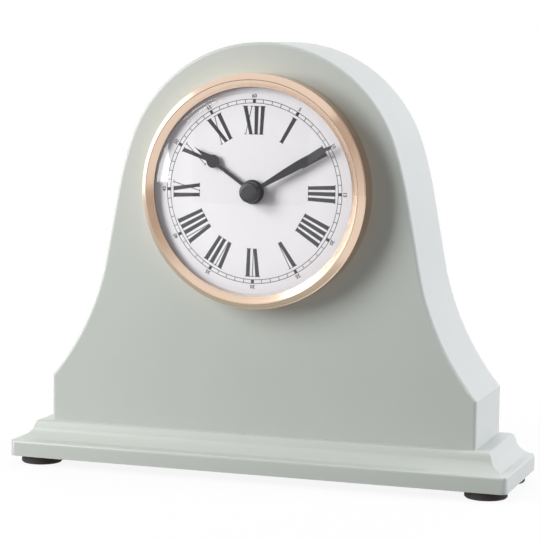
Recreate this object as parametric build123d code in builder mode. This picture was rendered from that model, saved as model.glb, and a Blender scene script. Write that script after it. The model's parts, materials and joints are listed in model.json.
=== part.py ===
from build123d import *
from math import acos, asin, cos, degrees, radians, sin, sqrt
import os

# Case, seen from the front: a crown arc, straight flanks and sides that sweep out to the shoulders
case_width = 170.0
case_depth = 40.0
crown_height = 93.0
crown_clearance = 0.7
crown_end_angle = 18.0
upper_flank_radius = 158.0
flank_angle = 10.5
flank_length = 25.0
sweep_radius = 102.0
front_board = 9.0
case_wall = 9.0
case_front_round = 1.2
case_rear_round = 0.8

# Plinth with its cove moulding along the front and both sides, and four round feet
plinth_height = 13.6
plinth_front_projection = 10.0
plinth_side_projection = 14.0
plinth_corner_round = 2.5
plinth_band_height = 5.0
moulding_top_round = 1.2
moulding_cove = 4.0
moulding_band_round = 1.3
foot_height = 3.3
foot_radius = 8.0
foot_edge_chamfer = 0.5
foot_inset = 1.7

# Back panel, let into a rebate, with a round window to reach the battery and the setting knob
panel_thickness = 3.0
panel_clearance = 0.3
rebate_width = 5.0
window_radius = 38.0
window_edge = 0.8

# Screws
screw_radius = 1.1
screw_head_radius = 2.3
screw_head_height = 1.2
screw_clearance = 0.1
panel_screw_length = 10.0
panel_screw_spread = 55.0
panel_screw_angles = (30.0, 90.0, 150.0)
plinth_screw_radius = 2.0
plinth_screw_head_radius = 3.8
plinth_screw_head_height = 2.4
plinth_screw_recess = 4.0
plinth_screw_grip = 12.0
plinth_screw_spread = 60.0
foot_screw_head_height = 1.0
foot_screw_recess = 1.4
foot_screw_grip = 7.0

# Clock insert: depths are counted from the front of the case, forward ones are below zero
bezel_cover = 2.45
bezel_thickness = 0.9
bezel_skirt_height = 8.4
bezel_crest = 11.0
bezel_cone_run = 2.8
bezel_crest_flat = 0.35
bezel_shoulder_step = 0.4
lip_front = 9.4
lip_thickness = 0.7
lip_width = 1.0
lens_thickness = 1.2
lens_rim_width = 1.6
lens_edge_clearance = 0.15
lens_shoulder_run = 1.3
lens_shoulder_rise = 2.9
lens_dome_rise = 3.6
lens_shoulder_round = 1.2
gasket_thickness = 0.5
gasket_width = 1.2
dial_thickness = 0.8
dial_hole_radius = 2.4
cup_room = 1.85
cup_wall = 0.8
cup_seat_width = 0.95
cup_floor_front = -2.5
cup_floor_thickness = 1.5
cup_flange_thickness = 1.0
cup_screw_margin = 0.2
cup_hole_clearance = 0.5
bezel_fit = 0.05

# Spring clips that draw the insert against the back of the front board
clip_count = 3
clip_width = 10.0
clip_thickness = 0.8
clip_reach = 4.2
clip_leg = 4.0
clip_gap = 0.05
clip_screw_radius = 1.0
clip_screw_head_radius = 2.0
clip_screw_head_height = 1.1
clip_screw_length = 3.0

# Movement case: its width follows from the battery, its height from the train, the bay and the coil
movement_corner = 4.0
movement_wall = 1.2
movement_front_wall = 1.5
movement_joint = 11.0
train_gap = 0.6
bay_slack = 1.0
coil_gap = 1.6
rubber_thickness = 0.5
rubber_radius = 12.0
bush_radius = 3.9
bush_dial_gap = 0.6
washer_thickness = 0.4
washer_radius = 7.0
nut_thickness = 2.0
nut_across_flats = 11.0
running_clearance = 0.05
fixed_clearance = 0.05

# Battery and its contacts
battery_radius = 7.1
battery_length = 49.0
battery_nub_radius = 2.6
battery_nub_length = 1.0
battery_edge_chamfer = 0.5
battery_gap = 0.1
contact_thickness = 0.4
contact_width = 5.2
contact_dimple_height = 0.4
contact_dimple_radius = 1.5
contact_bow = 2.4
contact_tail = 2.0

# Gear train: numbers of teeth, centre distances and the direction of each axis from the last one
cannon_teeth = 12
motion_wheel_teeth = 36
motion_pinion_teeth = 10
hour_teeth = 40
motion_distance = 9.6
motion_direction = 30.0
knob_direction = 75.0
pinion_teeth = 8
centre_teeth = 64
third_teeth = 60
seconds_teeth = 40
intermediate_teeth = 48
third_distance = 10.8
third_direction = 150.0
intermediate_distance = 7.2
intermediate_direction = 80.0
rotor_distance = 7.0
rotor_direction = 100.0

# Thicknesses in the train, and the gaps along the arbors between its layers
wheel_thickness = 0.8
pinion_margin = 0.2
layer_gap = 0.4
plate_thickness = 0.8
magnet_thickness = 1.6
stator_thickness = 0.8

# Arbors, pivots and posts
minute_arbor_radius = 1.0
hour_pipe_radius = 1.75
arbor_radius = 0.5
third_arbor_radius = 0.6
seconds_arbor_radius = 0.7
pivot_radius = 0.35
pivot_length = 0.8
arbor_end_play = 0.2
magnet_radius = 3.0
motion_post_radius = 0.8
boss_radius = 1.3
stem_radius = 1.2
stem_pivot_radius = 0.8
stem_boss_rear = 2.2
stem_plate_clearance = 0.4
friction_spring_radius = 2.6
friction_spring_thickness = 0.3
pillar_radius = 1.5
pillar_pin_radius = 0.9
pillar_side_inset = 6.8
pillar_board_inset = 3.5
pillar_bay_gap = 2.4
pillar_coil_gap = 1.5
plate_margin = 2.2
spacer_radius = 1.7

# Setting knob at the back
knob_radius = 6.5
knob_thickness = 3.7
knob_gap = 0.3
knob_grooves = 18
knob_groove_radius = 0.5
knob_socket_depth = 2.2

# Circuit board, coil and stator
board_thickness = 1.0
board_standoff = 1.5
board_side_gap = 0.8
board_stem_gap = 2.5
chip_radius = 3.0
chip_height = 1.4
chip_chamfer = 0.8
crystal_radius = 1.0
crystal_length = 6.0
crystal_side = 2.9
crystal_gap = 1.5
coil_left = -18.0
coil_length = 21.0
coil_rise = 8.6
coil_flange = 5.2
coil_flange_thickness = 1.0
coil_barrel_radius = 1.7
coil_winding_radius = 2.45
core_height = 2.4
core_thickness = 0.8
core_overhang = 4.3
coil_cover_gap = 0.1
stator_gap = 0.5
stator_ring = 1.7
stator_arm = 4.0
stator_peg_radius = 1.1

# Hands: a spade hour hand and a leaf-shaped minute hand, with brass collets and a black cap
hand_thickness = 0.4
hour_hand_dial_gap = 1.2
collet_gap = 0.2
hour_hub_radius = 4.55
hour_hand_shortfall = 7.7
hour_stem_width = 1.3
hour_bulb_drop = 9.0
hour_bulb_radius = 2.5
hour_point_length = 7.0
hour_point_base = 3.2
hour_point_waist = 1.1
minute_hub_radius = 3.4
minute_tip_gap = 3.2
minute_neck_width = 1.3
minute_tip_length = 9.3
minute_leaf_width = 2.9
minute_tip_width = 0.4
minute_tip_lean = 0.2
hour_collet_radius = 3.0
hour_collet_tube_radius = 2.5
hour_collet_neck_radius = 2.1
hour_collet_front = 0.3
hour_collet_rear = 0.7
minute_collet_radius = 1.9
minute_collet_length = 0.4
cap_radius = 3.9
cap_height = 3.2
cap_round = 1.4
cap_socket = 0.7
shown_hour = 10
shown_minute = 10

# Tooth shapes as shares of the module: height above and below the pitch line, half widths there
pinion_tooth = (0.75, 1.10, 0.22, 0.70)
wheel_tooth = (0.70, 1.15, 0.30, 0.80)


def beside(place, distance, direction):
    """The point at a distance and direction from a place on the movement."""
    turn = radians(direction)
    return (place[0] + distance * cos(turn), place[1] + distance * sin(turn))


# Modules and axes of the train, as seen from the front about the dial's centre
motion_module = 2 * motion_distance / (cannon_teeth + motion_wheel_teeth)
hour_module = 2 * motion_distance / (motion_pinion_teeth + hour_teeth)
centre_module = 2 * third_distance / (pinion_teeth + centre_teeth)
third_module = 2 * third_distance / (pinion_teeth + third_teeth)
seconds_module = 2 * intermediate_distance / (pinion_teeth + seconds_teeth)
intermediate_module = 2 * rotor_distance / (pinion_teeth + intermediate_teeth)

centre = (0.0, 0.0)
motion_axis = beside(centre, motion_distance, motion_direction)
knob_axis = beside(motion_axis, motion_distance, knob_direction)
third_axis = beside(centre, third_distance, third_direction)
intermediate_axis = beside(centre, intermediate_distance, intermediate_direction)
rotor_axis = beside(intermediate_axis, rotor_distance, rotor_direction)

# Outline of the movement case, made round the battery, the centre wheel and the coil
contact_face = (battery_length + battery_nub_length + contact_dimple_height + contact_bow) / 2
inside_side = contact_face + contact_thickness
half_movement = inside_side + movement_wall
centre_wheel_radius = centre_module * (centre_teeth / 2 + wheel_tooth[0])
bay_wall_top = -centre_wheel_radius - train_gap
bay_roof = bay_wall_top - movement_wall
inside_bottom = bay_roof - 2 * battery_radius - bay_slack
movement_bottom = inside_bottom - movement_wall
coil_height = rotor_axis[1] + coil_rise
inside_top = coil_height + coil_flange / 2 + coil_gap
movement_top = inside_top + movement_wall
board_left = knob_axis[0] + stem_radius + board_stem_gap
board_width = inside_side - board_side_gap - board_left
pillar_left = pillar_side_inset - inside_side
pillar_right = board_left + pillar_board_inset
pillar_low = bay_wall_top + pillar_bay_gap
pillar_high = coil_height - coil_flange / 2 - pillar_coil_gap - pillar_radius

# The cup goes round the movement's corners, and the lens, the bezel and the crown go round the cup
corner_side = half_movement - movement_corner
corner_height = max(movement_top, -movement_bottom) - movement_corner
movement_reach = sqrt(corner_side ** 2 + corner_height ** 2) + movement_corner
cup_inner = movement_reach + cup_room
cup_bore = cup_inner + cup_seat_width
cup_outer = cup_bore + cup_wall
cup_hole = cup_outer + cup_hole_clearance
cup_rear = front_board + clip_thickness + clip_leg / 2 + clip_screw_radius + cup_screw_margin
bezel_radius = cup_outer + bezel_cover
cup_flange_radius = bezel_radius - bezel_thickness - bezel_fit
lens_radius = cup_bore - lens_edge_clearance
aperture_radius = lens_radius - lens_rim_width
bezel_crest_radius = aperture_radius + bezel_cone_run
crown_radius = cup_outer + clip_gap + clip_reach + crown_clearance + case_wall

# Depths of the insert, and the places of the case and the plinth
lip_seat = lip_front - lip_thickness
lens_rear = lip_seat - lens_thickness
dial_face = lens_rear - gasket_thickness
dial_rear = dial_face - dial_thickness
lens_apex = lip_seat + lens_shoulder_rise + lens_dome_rise
front_y = (lens_apex - case_depth) / 2
plinth_top = foot_height + plinth_height
dial_height = plinth_top + crown_height
half_plinth = case_width / 2 + plinth_side_projection
plinth_depth = case_depth + plinth_front_projection

# Layers of the train from the front to the rear: a pinion stands proud of its wheel on both sides
movement_front = cup_floor_front + cup_floor_thickness + rubber_thickness
movement_floor = movement_front + movement_front_wall
hour_wheel_front = movement_floor + layer_gap
hour_wheel_rear = hour_wheel_front + wheel_thickness
cannon_front = hour_wheel_rear + layer_gap
motion_wheel_front = cannon_front + pinion_margin
motion_wheel_rear = motion_wheel_front + wheel_thickness
motion_pinion_front = hour_wheel_front - pinion_margin
cannon_rear = motion_wheel_rear + pinion_margin
centre_wheel_front = cannon_rear + layer_gap
centre_wheel_rear = centre_wheel_front + wheel_thickness
spring_rear = centre_wheel_rear + friction_spring_thickness
third_pinion_front = centre_wheel_front - pinion_margin
third_pinion_rear = centre_wheel_rear + pinion_margin
plate_front = spring_rear + layer_gap
plate_rear = plate_front + plate_thickness
board_front = plate_rear + board_standoff
board_rear = board_front + board_thickness
seconds_pinion_front = plate_rear + layer_gap
third_wheel_front = seconds_pinion_front + pinion_margin
third_wheel_rear = third_wheel_front + wheel_thickness
seconds_pinion_rear = third_wheel_rear + pinion_margin
intermediate_pinion_front = third_wheel_rear + layer_gap
seconds_wheel_front = intermediate_pinion_front + pinion_margin
seconds_wheel_rear = seconds_wheel_front + wheel_thickness
intermediate_pinion_rear = seconds_wheel_rear + pinion_margin
intermediate_wheel_front = seconds_wheel_rear + layer_gap
intermediate_wheel_rear = intermediate_wheel_front + wheel_thickness
rotor_pinion_front = intermediate_wheel_front - pinion_margin
rotor_pinion_rear = intermediate_wheel_rear + pinion_margin
magnet_front = rotor_pinion_rear + layer_gap
magnet_rear = magnet_front + magnet_thickness
stator_front = (magnet_front + magnet_rear - stator_thickness) / 2
stator_rear = stator_front + stator_thickness
coil_depth = stator_front - core_thickness / 2
cover_inside = coil_depth + coil_flange / 2 + coil_cover_gap
movement_rear = cover_inside + movement_wall

# Hands: their lengths follow the lens's opening, and their depths follow the dial
hour_hand_front = -(dial_face + hour_hand_dial_gap + hand_thickness)
minute_hand_rear = hour_hand_front - hour_collet_front - collet_gap - minute_collet_length
minute_hand_front = minute_hand_rear - hand_thickness
minute_hand_length = aperture_radius - minute_tip_gap
minute_leaf_reach = minute_hand_length - minute_tip_length
hour_hand_length = minute_hand_length - hour_hand_shortfall
hour_bulb_reach = hour_hand_length - hour_bulb_drop
hour_point_start = hour_hand_length - hour_point_length


def level(depth, place=centre):
    """A plane that faces the viewer, at a depth behind the case's front, about the dial's axis."""
    origin = (place[0], front_y + depth, dial_height + place[1])
    return Plane(origin=origin, x_dir=(1, 0, 0), z_dir=(0, -1, 0))


def case_level(depth):
    """The same kind of plane with its origin on the plinth's top."""
    return Plane(origin=(0, front_y + depth, plinth_top), x_dir=(1, 0, 0), z_dir=(0, -1, 0))


turning_plane = Plane(origin=(0, front_y, dial_height), x_dir=(1, 0, 0), z_dir=(0, 0, -1))
dial_axis = Axis((0, front_y, dial_height), (0, 1, 0))


def rod(start, end, radius, place=centre, mode=Mode.ADD):
    """A round rod or hole along the depth of the clock."""
    with BuildSketch(level(start, place)) as disc:
        Circle(radius)
    extrude(disc.sketch, amount=start - end, mode=mode)


def gear(start, end, teeth, module, tooth, place=centre, phase=0.0):
    """A toothed disc with straight-sided teeth, one of which points to the phase angle."""
    above, below, tip, root = tooth
    tip_radius = module * (teeth / 2 + above)
    root_radius = module * (teeth / 2 - below)
    half_tip = degrees(tip * module / tip_radius)
    half_root = degrees(root * module / root_radius)
    corners = []
    for step in range(teeth):
        middle = phase + step * 360 / teeth
        corners.append(beside(centre, root_radius, middle - half_root))
        corners.append(beside(centre, tip_radius, middle - half_tip))
        corners.append(beside(centre, tip_radius, middle + half_tip))
        corners.append(beside(centre, root_radius, middle + half_root))
    with BuildSketch(level(start, place)) as disc:
        with BuildLine():
            Polyline(*corners, close=True)
        make_face()
    extrude(disc.sketch, amount=start - end)


def mesh_phase(direction, teeth, phase, other_teeth):
    """Phase of a gear that meshes with another, seen from that other gear in a direction."""
    share = ((direction - phase) * teeth / 360) % 1
    return direction + 180 - (0.5 - share) * 360 / other_teeth


def case_outline(inset=0.0):
    """Front view of the case from the plinth's top up, drawn in by an inset all round."""
    with BuildSketch() as outline:
        with BuildLine():
            crown = CenterArc((0, crown_height), crown_radius - inset, 90, crown_end_angle - 90)
            upper = JernArc(
                crown @ 1, crown % 1, upper_flank_radius - inset, flank_angle - crown_end_angle
            )
            flank = Line(upper @ 1, upper @ 1 + flank_length * (upper % 1))
            inset_sweep = sweep_radius + inset
            side_reach = case_width / 2 - inset
            sweep_centre = (flank @ 1).X + inset_sweep * cos(radians(flank_angle))
            end_angle = degrees(acos((sweep_centre - side_reach) / inset_sweep))
            side = JernArc(flank @ 1, flank % 1, inset_sweep, end_angle - flank_angle)
            Polyline(side @ 1, (side_reach, inset), (0, inset))
            mirror(about=Plane.YZ)
        make_face()
    return outline.sketch


def moulded_section(inner, outer):
    """Half of the plinth's section: straight at its inner end and moulded at its outer end."""
    flat_end = outer - moulding_top_round - moulding_cove - moulding_band_round
    cove_side = flat_end + moulding_top_round
    cove_top = plinth_band_height + moulding_band_round + moulding_cove
    band_middle = outer - moulding_band_round
    top_middle = plinth_height - moulding_top_round
    with BuildSketch() as section:
        with BuildLine():
            top = CenterArc((flat_end, top_middle), moulding_top_round, 90, -90)
            Line(top @ 1, (cove_side, cove_top))
            CenterArc((band_middle, cove_top), moulding_cove, 180, 90)
            band = CenterArc((band_middle, plinth_band_height), moulding_band_round, 90, -90)
            Polyline(band @ 1, (outer, 0), (inner, 0), (inner, plinth_height), top @ 0)
        make_face()
    return section.sketch


def panel_screw_places():
    """Where the back panel's screws stand, on the middle of the ledge that carries the panel."""
    ledge = (case_wall + rebate_width) / 2
    crown_ring = crown_radius - ledge
    places = [(panel_screw_spread * side, ledge) for side in (-1, 0, 1)]
    for angle in panel_screw_angles:
        places.append(beside((0, crown_height), crown_ring, angle))
    return places


def foot_places():
    """Where the middle of each foot stands, by name."""
    reach = half_plinth - foot_inset - foot_radius
    front = front_y - plinth_front_projection + foot_inset + foot_radius
    rear = front_y + case_depth - foot_inset - foot_radius
    sides = {"left": -reach, "right": reach}
    ends = {"front": front, "rear": rear}
    return {f"foot_{end}_{side}": (sides[side], ends[end]) for end in ends for side in sides}


# Case body: an arched front board and a rim, open at the back
with BuildPart() as case_body:
    with BuildSketch(case_level(0)):
        add(case_outline())
    extrude(amount=-case_depth)
    front_edges = case_body.edges().group_by(Axis.Y)[0].filter_by_position(
        Axis.Z, plinth_top + case_front_round, dial_height + case_width
    )
    fillet(front_edges, radius=case_front_round)
    rear_edges = case_body.edges().group_by(Axis.Y)[-1].filter_by_position(
        Axis.Z, plinth_top + case_rear_round, dial_height + case_width
    )
    fillet(rear_edges, radius=case_rear_round)
    with BuildSketch(case_level(front_board)):
        add(case_outline(case_wall))
    extrude(amount=front_board - case_depth, mode=Mode.SUBTRACT)
    with BuildSketch(case_level(case_depth - panel_thickness)):
        add(case_outline(case_wall - rebate_width))
    extrude(amount=-panel_thickness, mode=Mode.SUBTRACT)
    rod(0, front_board, cup_hole, mode=Mode.SUBTRACT)
    with BuildSketch(case_level(case_depth - panel_screw_length)):
        with Locations(*panel_screw_places()):
            Circle(screw_radius + screw_clearance)
    extrude(amount=-panel_screw_length, mode=Mode.SUBTRACT)
    with BuildSketch(Plane.XY.offset(plinth_top)):
        with Locations((0, front_y + front_board / 2)):
            with GridLocations(2 * plinth_screw_spread, 0, 2, 1):
                Circle(plinth_screw_radius + screw_clearance)
    extrude(amount=plinth_screw_grip, mode=Mode.SUBTRACT)

# Back panel with its window and countersunk screw holes
with BuildPart() as back_panel:
    with BuildSketch(case_level(case_depth - panel_thickness)):
        add(case_outline(case_wall - rebate_width + panel_clearance))
    extrude(amount=-panel_thickness)
    rod(case_depth - panel_thickness, case_depth, window_radius, mode=Mode.SUBTRACT)
    rear_arcs = back_panel.edges().filter_by(GeomType.CIRCLE).group_by(Axis.Y)[-1]
    chamfer(rear_arcs.sort_by(SortBy.RADIUS)[0], length=window_edge)
    with Locations(case_level(case_depth).rotated((180, 0, 0))):
        with Locations(*[(x, -z) for x, z in panel_screw_places()]):
            CounterSinkHole(
                screw_radius + screw_clearance, screw_head_radius + screw_clearance, panel_thickness
            )

# Back panel screws
with BuildPart() as back_panel_screws:
    with BuildSketch(case_level(case_depth)):
        with Locations(*panel_screw_places()):
            Circle(screw_head_radius)
    extrude(amount=screw_head_height, taper=45)
    with BuildSketch(case_level(case_depth - panel_screw_length)):
        with Locations(*panel_screw_places()):
            Circle(screw_radius)
    extrude(amount=-panel_screw_length)

# Plinth: the front moulding and the side mouldings meet in mitres
with BuildPart() as plinth:
    front_section = Plane(
        origin=(0, front_y, foot_height), x_dir=(0, -1, 0), z_dir=(-1, 0, 0)
    )
    with BuildSketch(front_section):
        add(moulded_section(-case_depth, plinth_front_projection))
    extrude(amount=half_plinth, both=True)
    with BuildSketch(Plane(origin=(0, front_y, foot_height), x_dir=(1, 0, 0), z_dir=(0, -1, 0))):
        add(moulded_section(0, half_plinth))
        mirror(about=Plane.YZ)
    extrude(amount=plinth_depth, both=True, mode=Mode.INTERSECT)
    with BuildSketch(Plane.XY.offset(foot_height)):
        with Locations((0, front_y + (case_depth - plinth_front_projection) / 2)):
            plan = Rectangle(2 * half_plinth, plinth_depth)
        fillet(plan.vertices().group_by(Axis.Y)[0], radius=plinth_corner_round)
    extrude(amount=plinth_height, mode=Mode.INTERSECT)
    with Locations(Plane.XY.offset(foot_height).rotated((180, 0, 0))):
        with Locations((0, -front_y - front_board / 2)):
            with GridLocations(2 * plinth_screw_spread, 0, 2, 1):
                CounterBoreHole(
                    plinth_screw_radius + screw_clearance,
                    plinth_screw_head_radius + screw_clearance,
                    plinth_screw_recess,
                    plinth_height,
                )
    with BuildSketch(Plane.XY.offset(foot_height)):
        with Locations(*foot_places().values()):
            Circle(screw_radius + screw_clearance)
    extrude(amount=foot_screw_grip, mode=Mode.SUBTRACT)

# Screws that hold the case on the plinth, up into the front board
with BuildPart() as plinth_screws:
    head_top = foot_height + plinth_screw_recess
    with BuildSketch(Plane.XY.offset(head_top - plinth_screw_head_height)):
        with Locations((0, front_y + front_board / 2)):
            with GridLocations(2 * plinth_screw_spread, 0, 2, 1):
                Circle(plinth_screw_head_radius)
    extrude(amount=plinth_screw_head_height)
    with BuildSketch(Plane.XY.offset(head_top)):
        with Locations((0, front_y + front_board / 2)):
            with GridLocations(2 * plinth_screw_spread, 0, 2, 1):
                Circle(plinth_screw_radius)
    extrude(amount=plinth_top + plinth_screw_grip - head_top)

# Feet, each a turned disc with a recess for its screw
feet = {}
for foot_name, foot_place in foot_places().items():
    with BuildPart() as foot:
        with BuildSketch(Plane.XY):
            with Locations(foot_place):
                Circle(foot_radius)
        extrude(amount=foot_height)
        chamfer(foot.edges().group_by(Axis.Z)[0], length=foot_edge_chamfer)
        with Locations(Plane.XY.rotated((180, 0, 0))):
            with Locations((foot_place[0], -foot_place[1])):
                CounterBoreHole(
                    screw_radius + screw_clearance,
                    screw_head_radius + screw_clearance,
                    foot_screw_recess,
                    foot_height,
                )
    feet[foot_name] = foot

with BuildPart() as foot_screws:
    with BuildSketch(Plane.XY.offset(foot_screw_recess - foot_screw_head_height)):
        with Locations(*foot_places().values()):
            Circle(screw_head_radius)
    extrude(amount=foot_screw_head_height)
    with BuildSketch(Plane.XY.offset(foot_screw_recess)):
        with Locations(*foot_places().values()):
            Circle(screw_radius)
    extrude(amount=foot_height + foot_screw_grip - foot_screw_recess)

# Bezel: a spun metal ring with a skirt, an outer slope, a crest and an inner cone down to the lip
with BuildPart() as bezel:
    skirt_inside = bezel_radius - bezel_thickness
    crest_inside = bezel_crest - bezel_thickness
    with BuildSketch(turning_plane):
        with BuildLine():
            Polyline(
                (bezel_radius, 0),
                (bezel_radius, bezel_skirt_height),
                (bezel_radius - bezel_shoulder_step, bezel_skirt_height + bezel_shoulder_step),
                (bezel_crest_radius, bezel_crest),
                (bezel_crest_radius - bezel_crest_flat, bezel_crest),
                (aperture_radius, lip_front),
                (aperture_radius, lip_seat),
                (aperture_radius + lip_width, lip_seat),
                (bezel_crest_radius - bezel_crest_flat, crest_inside),
                (skirt_inside, bezel_skirt_height - bezel_shoulder_step),
                (skirt_inside, 0),
                close=True,
            )
        make_face()
    revolve(axis=dial_axis)

# Lens: a shallow dome with a steep shoulder and a flat rim under the bezel's lip
with BuildPart() as lens:
    outer_foot = aperture_radius - lens_edge_clearance
    outer_shoulder = outer_foot - lens_shoulder_run
    inner_foot = outer_foot - lens_thickness
    inner_shoulder = outer_shoulder - lens_thickness
    dome_radius = (outer_shoulder ** 2 + lens_dome_rise ** 2) / (2 * lens_dome_rise)
    inner_dome_radius = dome_radius - lens_thickness
    dome_centre = (0, lens_apex - dome_radius)
    outer_turn = degrees(asin(outer_shoulder / dome_radius))
    inner_turn = degrees(asin(inner_shoulder / inner_dome_radius))
    with BuildSketch(turning_plane):
        with BuildLine():
            outer_dome = CenterArc(dome_centre, dome_radius, 90, -outer_turn)
            inner_dome = CenterArc(dome_centre, inner_dome_radius, 90, -inner_turn)
            Polyline(
                outer_dome @ 1,
                (outer_foot, lip_seat),
                (lens_radius, lip_seat),
                (lens_radius, lens_rear),
                (inner_foot, lens_rear),
                inner_dome @ 1,
            )
            Line(inner_dome @ 0, outer_dome @ 0)
        lens_section = make_face()
        fillet(lens_section.vertices().group_by(Axis.X)[1:3], radius=lens_shoulder_round)
    revolve(axis=dial_axis)

# Lens gasket and dial
with BuildPart() as lens_gasket:
    rod(-lens_rear, -dial_face, lens_radius)
    rod(-lens_rear, -dial_face, lens_radius - gasket_width, mode=Mode.SUBTRACT)

with BuildPart() as dial:
    rod(-dial_face, -dial_rear, lens_radius)
    rod(-dial_face, -dial_rear, dial_hole_radius, mode=Mode.SUBTRACT)

# Dial cup: carries lens and dial in its mouth, and the movement behind its floor
with BuildPart() as dial_cup:
    floor_rear = cup_floor_front + cup_floor_thickness
    with BuildSketch(turning_plane):
        with BuildLine():
            Polyline(
                (bush_radius + fixed_clearance, -cup_floor_front),
                (cup_inner, -cup_floor_front),
                (cup_inner, dial_rear),
                (cup_bore, dial_rear),
                (cup_bore, lip_seat),
                (cup_outer, lip_seat),
                (cup_outer, cup_flange_thickness),
                (cup_flange_radius, cup_flange_thickness),
                (cup_flange_radius, 0),
                (cup_outer, 0),
                (cup_outer, -cup_rear),
                (cup_inner, -cup_rear),
                (cup_inner, -floor_rear),
                (bush_radius + fixed_clearance, -floor_rear),
                close=True,
            )
        make_face()
    revolve(axis=dial_axis)
    for index in range(clip_count):
        across = Plane(dial_axis.position, x_dir=(0, 1, 0), z_dir=(0, 0, 1)).rotated(
            (0, index * 360 / clip_count, 0)
        )
        screw_depth = front_board + clip_thickness + clip_leg / 2
        with BuildSketch(across) as screw_hole:
            with Locations((screw_depth, 0)):
                Circle(clip_screw_radius + screw_clearance)
        extrude(screw_hole.sketch, amount=2 * cup_outer, mode=Mode.SUBTRACT)

# Mounting clips: bent strips screwed to the cup that bear on the back of the front board
clips = {}
clip_screw_parts = []
for index, clip_name in enumerate(("clip_top", "clip_lower_right", "clip_lower_left")):
    turn = index * 360 / clip_count
    along = Plane(dial_axis.position, x_dir=(0, 1, 0), z_dir=(1, 0, 0)).rotated((0, turn, 0))
    outward = Plane(dial_axis.position, x_dir=(0, 1, 0), z_dir=(0, 0, 1)).rotated((0, turn, 0))
    leg_start = cup_outer + clip_gap
    leg_end = leg_start + clip_thickness
    foot_rear = front_board + clip_thickness
    with BuildPart() as clip:
        with BuildSketch(along):
            with BuildLine():
                Polyline(
                    (front_board, leg_start),
                    (front_board, leg_start + clip_reach),
                    (foot_rear, leg_start + clip_reach),
                    (foot_rear, leg_end),
                    (foot_rear + clip_leg, leg_end),
                    (foot_rear + clip_leg, leg_start),
                    close=True,
                )
            make_face()
        extrude(amount=clip_width / 2, both=True)
        with BuildSketch(outward):
            with Locations((foot_rear + clip_leg / 2, 0)):
                Circle(clip_screw_radius + screw_clearance)
        extrude(amount=2 * cup_outer, mode=Mode.SUBTRACT)
    clips[clip_name] = clip
    with BuildPart() as clip_screw:
        with BuildSketch(outward.offset(leg_end - clip_screw_length)):
            with Locations((foot_rear + clip_leg / 2, 0)):
                Circle(clip_screw_radius)
        extrude(amount=clip_screw_length)
        with BuildSketch(outward.offset(leg_end)):
            with Locations((foot_rear + clip_leg / 2, 0)):
                Circle(clip_screw_head_radius)
        extrude(amount=clip_screw_head_height)
    clip_screw_parts.append(clip_screw.part)

with BuildPart() as clip_screws:
    add(clip_screw_parts)


def movement_walls(start, end, low, high, inset=0.0, mode=Mode.ADD):
    """A block or hollow between two heights of the movement's rounded outline."""
    width = 2 * (half_movement - inset)
    height = movement_top - movement_bottom - 2 * inset
    with BuildSketch(level(start)) as plan:
        with Locations((0, (movement_top + movement_bottom) / 2)):
            RectangleRounded(width, height, movement_corner - min(inset, movement_corner / 2))
        with Locations((0, (low + high) / 2)):
            Rectangle(width, high - low, mode=Mode.INTERSECT)
    extrude(plan.sketch, amount=start - end, mode=mode)


pillar_places = [(x, z) for x in (pillar_left, pillar_right) for z in (pillar_low, pillar_high)]
stem_boss_hole = stem_pivot_radius + running_clearance
third_boss_rear = third_pinion_front - arbor_end_play

# Front shell of the movement, with the threaded bush, the pillars and the battery bay
with BuildPart() as movement_front_shell:
    movement_walls(movement_front, movement_joint, movement_bottom, movement_top)
    movement_walls(movement_joint, movement_rear, movement_bottom, bay_wall_top)
    movement_walls(
        movement_floor, movement_joint, bay_wall_top, inside_top, movement_wall, Mode.SUBTRACT
    )
    movement_walls(
        movement_floor, movement_rear, inside_bottom, bay_roof, movement_wall, Mode.SUBTRACT
    )
    bush_front = bush_dial_gap - dial_rear
    rod(bush_front, movement_front, bush_radius)
    rod(movement_floor, motion_wheel_rear + arbor_end_play, motion_post_radius, motion_axis)
    rod(movement_floor, stem_boss_rear, 2 * stem_pivot_radius, knob_axis)
    rod(movement_floor, stem_boss_rear, stem_boss_hole, knob_axis, Mode.SUBTRACT)
    rod(movement_floor, third_boss_rear, boss_radius, third_axis)
    rod(
        third_boss_rear - pivot_length - arbor_end_play,
        third_boss_rear,
        pivot_radius + running_clearance,
        third_axis,
        Mode.SUBTRACT,
    )
    for pillar in pillar_places:
        rod(movement_floor, plate_front, pillar_radius, pillar)
        rod(plate_front, plate_rear, pillar_pin_radius, pillar)
        if pillar[0] == pillar_right:
            rod(plate_rear, board_front + board_thickness, pillar_pin_radius, pillar)
    rod(
        bush_front,
        movement_floor,
        hour_pipe_radius + running_clearance,
        mode=Mode.SUBTRACT,
    )
    battery_depth = movement_floor + battery_gap + battery_radius
    for side in (-1, 1):
        slot_width = contact_thickness + contact_dimple_height
        slot_place = (side * (inside_side - slot_width / 2), (bay_roof + bay_wall_top) / 2)
        with BuildSketch(level(battery_depth - contact_width / 2 - battery_gap, slot_place)):
            Rectangle(slot_width, movement_wall)
        extrude(amount=-(contact_width + 2 * battery_gap), mode=Mode.SUBTRACT)

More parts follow.
